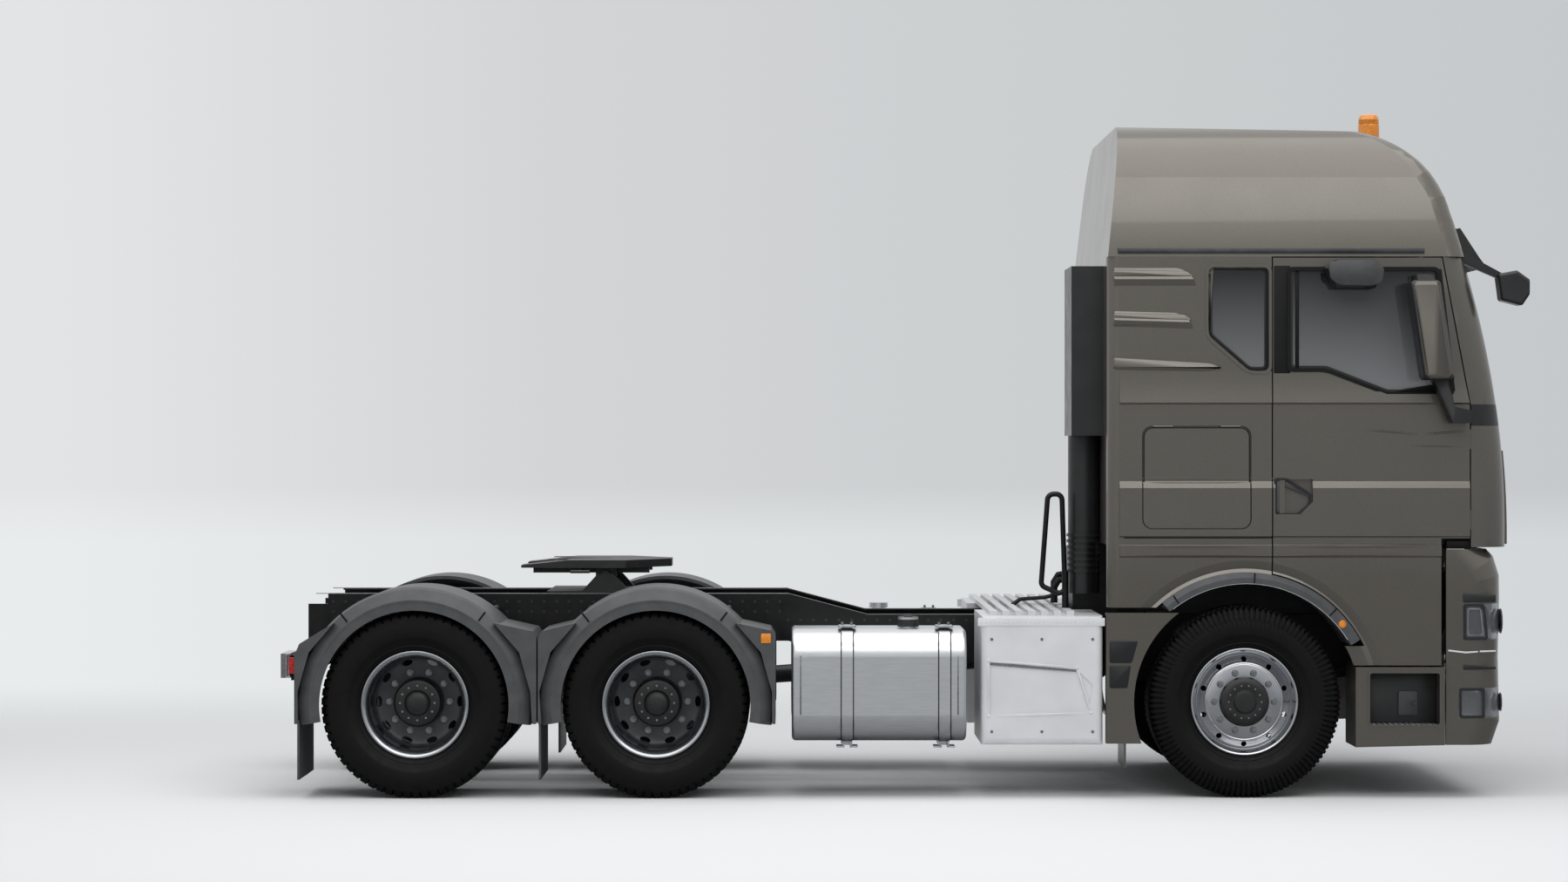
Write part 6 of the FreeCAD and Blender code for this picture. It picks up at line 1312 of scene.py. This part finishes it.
# %% Blowing up a cushion
def grid_of(form, voxel_mm):
    """The form with an even grid of faces."""
    mesh = bpy.data.meshes.new("cushion")
    form.to_mesh(mesh)
    form.free()
    item = bpy.data.objects.new("cushion", mesh)
    bpy.context.scene.collection.objects.link(item)
    remesh = item.modifiers.new("even_grid", "REMESH")
    remesh.mode = "VOXEL"
    remesh.voxel_size = voxel_mm / 1000
    even = bpy.data.meshes.new_from_object(item.evaluated_get(bpy.context.evaluated_depsgraph_get()))
    item.modifiers.remove(remesh)
    item.data = even
    return item


def swollen(form, voxel_mm, most_mm, frames=20, pressure=4.0):
    """Fills a form with air inside its cover; returns a new form and takes the old one apart."""
    item = grid_of(form, voxel_mm)
    rest = [vert.co.copy() for vert in item.data.vertices]
    cloth = item.modifiers.new("cover", "CLOTH")
    cloth.settings.use_pressure = True
    cloth.settings.uniform_pressure_force = pressure
    cloth.settings.quality = 5
    cloth.settings.effector_weights.gravity = 0
    cloth.point_cache.frame_start = 1
    cloth.point_cache.frame_end = frames
    for step in range(1, frames + 1):
        bpy.context.scene.frame_set(step)
    moved = item.evaluated_get(bpy.context.evaluated_depsgraph_get()).to_mesh()
    blown = [vert.co.copy() for vert in moved.vertices]
    item.modifiers.remove(cloth)
    bpy.context.scene.frame_set(1)
    for vert, start, end in zip(item.data.vertices, rest, blown):
        way = end - start
        vert.co = start + way * min(1, most_mm / 1000 / max(way.length, 1e-9))
    soft = bmesh.new()
    soft.from_mesh(item.data)
    bpy.data.objects.remove(item)
    bmesh.ops.smooth_vert(soft, verts=soft.verts, factor=0.5, use_axis_x=True, use_axis_y=True, use_axis_z=True)
    return soft


def finish_cushion(name, form, finish, body, mirrored=False):
    """A padded piece, with one subdivision to round its grid."""
    piece = finish_piece(name, form, finish, body, mirrored, 80)
    smooth = piece.modifiers.new("round", "SUBSURF")
    smooth.levels = smooth.render_levels = 1
    return piece


# %% [markdown]
# A seat is a cushion, a leaning back and a headrest, over a black plinth and a moulded shell. Two rods carry the
# headrest.

# %% Driver's and passenger's seats
form = bmesh.new()
add_block(form, (160, -856, 1835), (610, -384, 1945), 34, 3)
seat_cushion = finish_cushion("seat_cushions", swollen(form, 11, 16), seat_cloth, "cab", True)
form = bmesh.new()
add_plate(form, [(166, 1965), (278, 1965), (214, 2520), (110, 2520)], -384, -472, 30, 26)
seat_back = finish_cushion("seat_backs", swollen(form, 12, 16), seat_cloth, "cab", True)
form = bmesh.new()
add_plate(form, [(100, 2560), (186, 2560), (170, 2735), (90, 2735)], -490, -260, 26, 24)
seat_head = finish_cushion("headrests", swollen(form, 11, 12), seat_cloth, "cab", True)
form = bmesh.new()
add_block(form, (170, -835, 1500), (600, -405, 1822), 24, 2)
add_plate(form, [(140, 1900), (176, 1900), (112, 2560), (84, 2560)], -420, -400, 12, 6)
for y in (-560, -680):
    add_rod(form, (120, y, 2500), (118, y, 2600), 8)
seat_frame = finish_piece("seat_frames", form, black_plastic, "cab", mirrored=True)
for piece in (seat_cushion, seat_back, seat_head, seat_frame):
    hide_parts("seats")

# %% [markdown]
# The bunk is one wide mattress on a deck across the back of the cab.

# %% Bunk
form = bmesh.new()
add_block(form, (-706, -1130, 2146), (-134, 1130, 2252), 30, 3)
mattress = finish_cushion("mattress", swollen(form, 18, 14), seat_cloth, "cab")
form = bmesh.new()
add_block(form, (-715, -1140, 2100), (-122, 1140, 2142), 8, 2)
bunk_deck = finish_piece("bunk_deck", form, mirror_plastic, "cab")
for piece in (mattress, bunk_deck):
    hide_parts("bunk")
print("soft pieces:", len(seat_cushion.data.polygons), len(seat_back.data.polygons), len(mattress.data.polygons))


# %% [markdown]
# ## Studio
# The photograph has a pale grey cyclorama, lighter at the left, and a floor that runs into it. The world shows that
# grey to the camera and to reflections, while it lights the vehicle more weakly. Overhead it is white, as the soft
# boxes above the stage would be.

# %% World
world = bpy.data.worlds.new("cyclorama")
bpy.context.scene.world = world
world.use_nodes = True
tree = world.node_tree
tree.nodes.clear()
direction = put(tree, "ShaderNodeTexCoord").outputs["Generated"]
split = put(tree, "ShaderNodeSeparateXYZ", {"Vector": direction})


def world_ramp(socket, low, high, tones):
    """Colours spread evenly between two values of a direction."""
    span = put(tree, "ShaderNodeMapRange", {"Value": socket}, From_Min=low, From_Max=high)
    ramp = put(tree, "ShaderNodeValToRGB", {"Fac": span.outputs["Result"]})
    while len(ramp.color_ramp.elements) < len(tones):
        ramp.color_ramp.elements.new(0.5)
    for index, tone in enumerate(tones):
        ramp.color_ramp.elements[index].position = index / (len(tones) - 1)
        ramp.color_ramp.elements[index].color = linear(tone)
    return ramp.outputs["Color"]


wall = world_ramp(split.outputs["X"], -0.19, 0.2, ("#E3E4E6", "#D3D4D6", "#CBCFD0", "#C6C9CB"))
ground = world_ramp(split.outputs["X"], -0.19, 0.2, ("#E9ECED", "#E0E3E4", "#DADEDF", "#D4D7D9"))
below = put(tree, "ShaderNodeMapRange", {"Value": split.outputs["Z"]}, From_Min=-0.012, From_Max=-0.026)
seen = put(tree, "ShaderNodeMix", {"Factor": below.outputs["Result"], "A": wall, "B": ground}, data_type="RGBA")
overhead = put(tree, "ShaderNodeMapRange", {"Value": split.outputs["Z"]}, From_Min=0.12, From_Max=0.55)
lit = put(tree, "ShaderNodeMix", {"Factor": overhead.outputs["Result"], "A": seen.outputs["Result"]},
          data_type="RGBA", B=linear("#FFFFFF"))

rays = put(tree, "ShaderNodeLightPath")
shown = put(tree, "ShaderNodeMath", {0: rays.outputs["Is Camera Ray"], 1: rays.outputs["Is Glossy Ray"]},
            operation="MAXIMUM")
shown = put(tree, "ShaderNodeMath", {0: shown.outputs[0], 1: rays.outputs["Is Transmission Ray"]},
            operation="MAXIMUM")
cyclorama = put(tree, "ShaderNodeBackground", {"Color": lit.outputs["Result"]}, Strength=1.0)
ambient = put(tree, "ShaderNodeBackground", Color=linear("#F4F6F8"), Strength=0.42)
choice = put(tree, "ShaderNodeMixShader", {0: shown.outputs[0], 1: ambient.outputs[0], 2: cyclorama.outputs[0]})
put(tree, "ShaderNodeOutputWorld", {"Surface": choice.outputs[0]})

# %% [markdown]
# The floor is pale to the camera and keeps the shadow, and is darker to reflections, so that it doesn't light up the
# polished metal from below. Towards the back it turns transparent, so that no edge shows where it meets the wall.

# %% Floor
form = bmesh.new()
bmesh.ops.create_grid(form, x_segments=1, y_segments=1, size=40)
mesh = bpy.data.meshes.new("studio_floor")
form.to_mesh(mesh)
form.free()
floor = bpy.data.objects.new("studio_floor", mesh)
bpy.context.scene.collection.objects.link(floor)
floor_paint = bpy.data.materials.new("painted_studio_floor")
floor_paint.use_nodes = True
tree = floor_paint.node_tree
tree.nodes.clear()
place = put(tree, "ShaderNodeTexCoord").outputs["Object"]
spread = put(tree, "ShaderNodeSeparateXYZ", {"Vector": place})
fade = put(tree, "ShaderNodeMapRange", {"Value": spread.outputs["Y"]}, interpolation_type="SMOOTHSTEP",
           From_Min=0.5, From_Max=9.0)
glance = put(tree, "ShaderNodeLightPath").outputs["Is Glossy Ray"]
tone = put(tree, "ShaderNodeMix", {"Factor": glance}, data_type="RGBA", A=linear("#F8F9FA"), B=linear("#A2A3A5"))
matt = put(tree, "ShaderNodeBsdfDiffuse", {"Color": tone.outputs["Result"]})
clear = put(tree, "ShaderNodeBsdfTransparent")
choice = put(tree, "ShaderNodeMixShader", {0: fade.outputs["Result"], 1: matt.outputs[0], 2: clear.outputs[0]})
put(tree, "ShaderNodeOutputMaterial", {"Surface": choice.outputs[0]})
mesh.materials.append(floor_paint)

# %% [markdown]
# Two large soft boxes light the vehicle, one over it and one high up on the camera's side. Both are out of the
# picture and above what the side panes mirror.


# %% Lamps
def add_lamp(name, place, target, size, energy):
    """A soft box that faces its target; energy is in watts."""
    light = bpy.data.lights.new(name, "AREA")
    light.shape = "RECTANGLE"
    light.size, light.size_y = size
    light.energy = energy
    lamp = bpy.data.objects.new(name, light)
    bpy.context.scene.collection.objects.link(lamp)
    lamp.location = place
    lamp.rotation_euler = (Vector(target) - Vector(place)).to_track_quat("-Z", "Y").to_euler()


add_lamp("ceiling_softbox", (-0.7, -2.5, 9.5), (-0.7, -0.5, 0), (16, 9), 640)
add_lamp("side_softbox", (1.5, -13, 9.5), (0, 0, 1.6), (14, 4), 420)
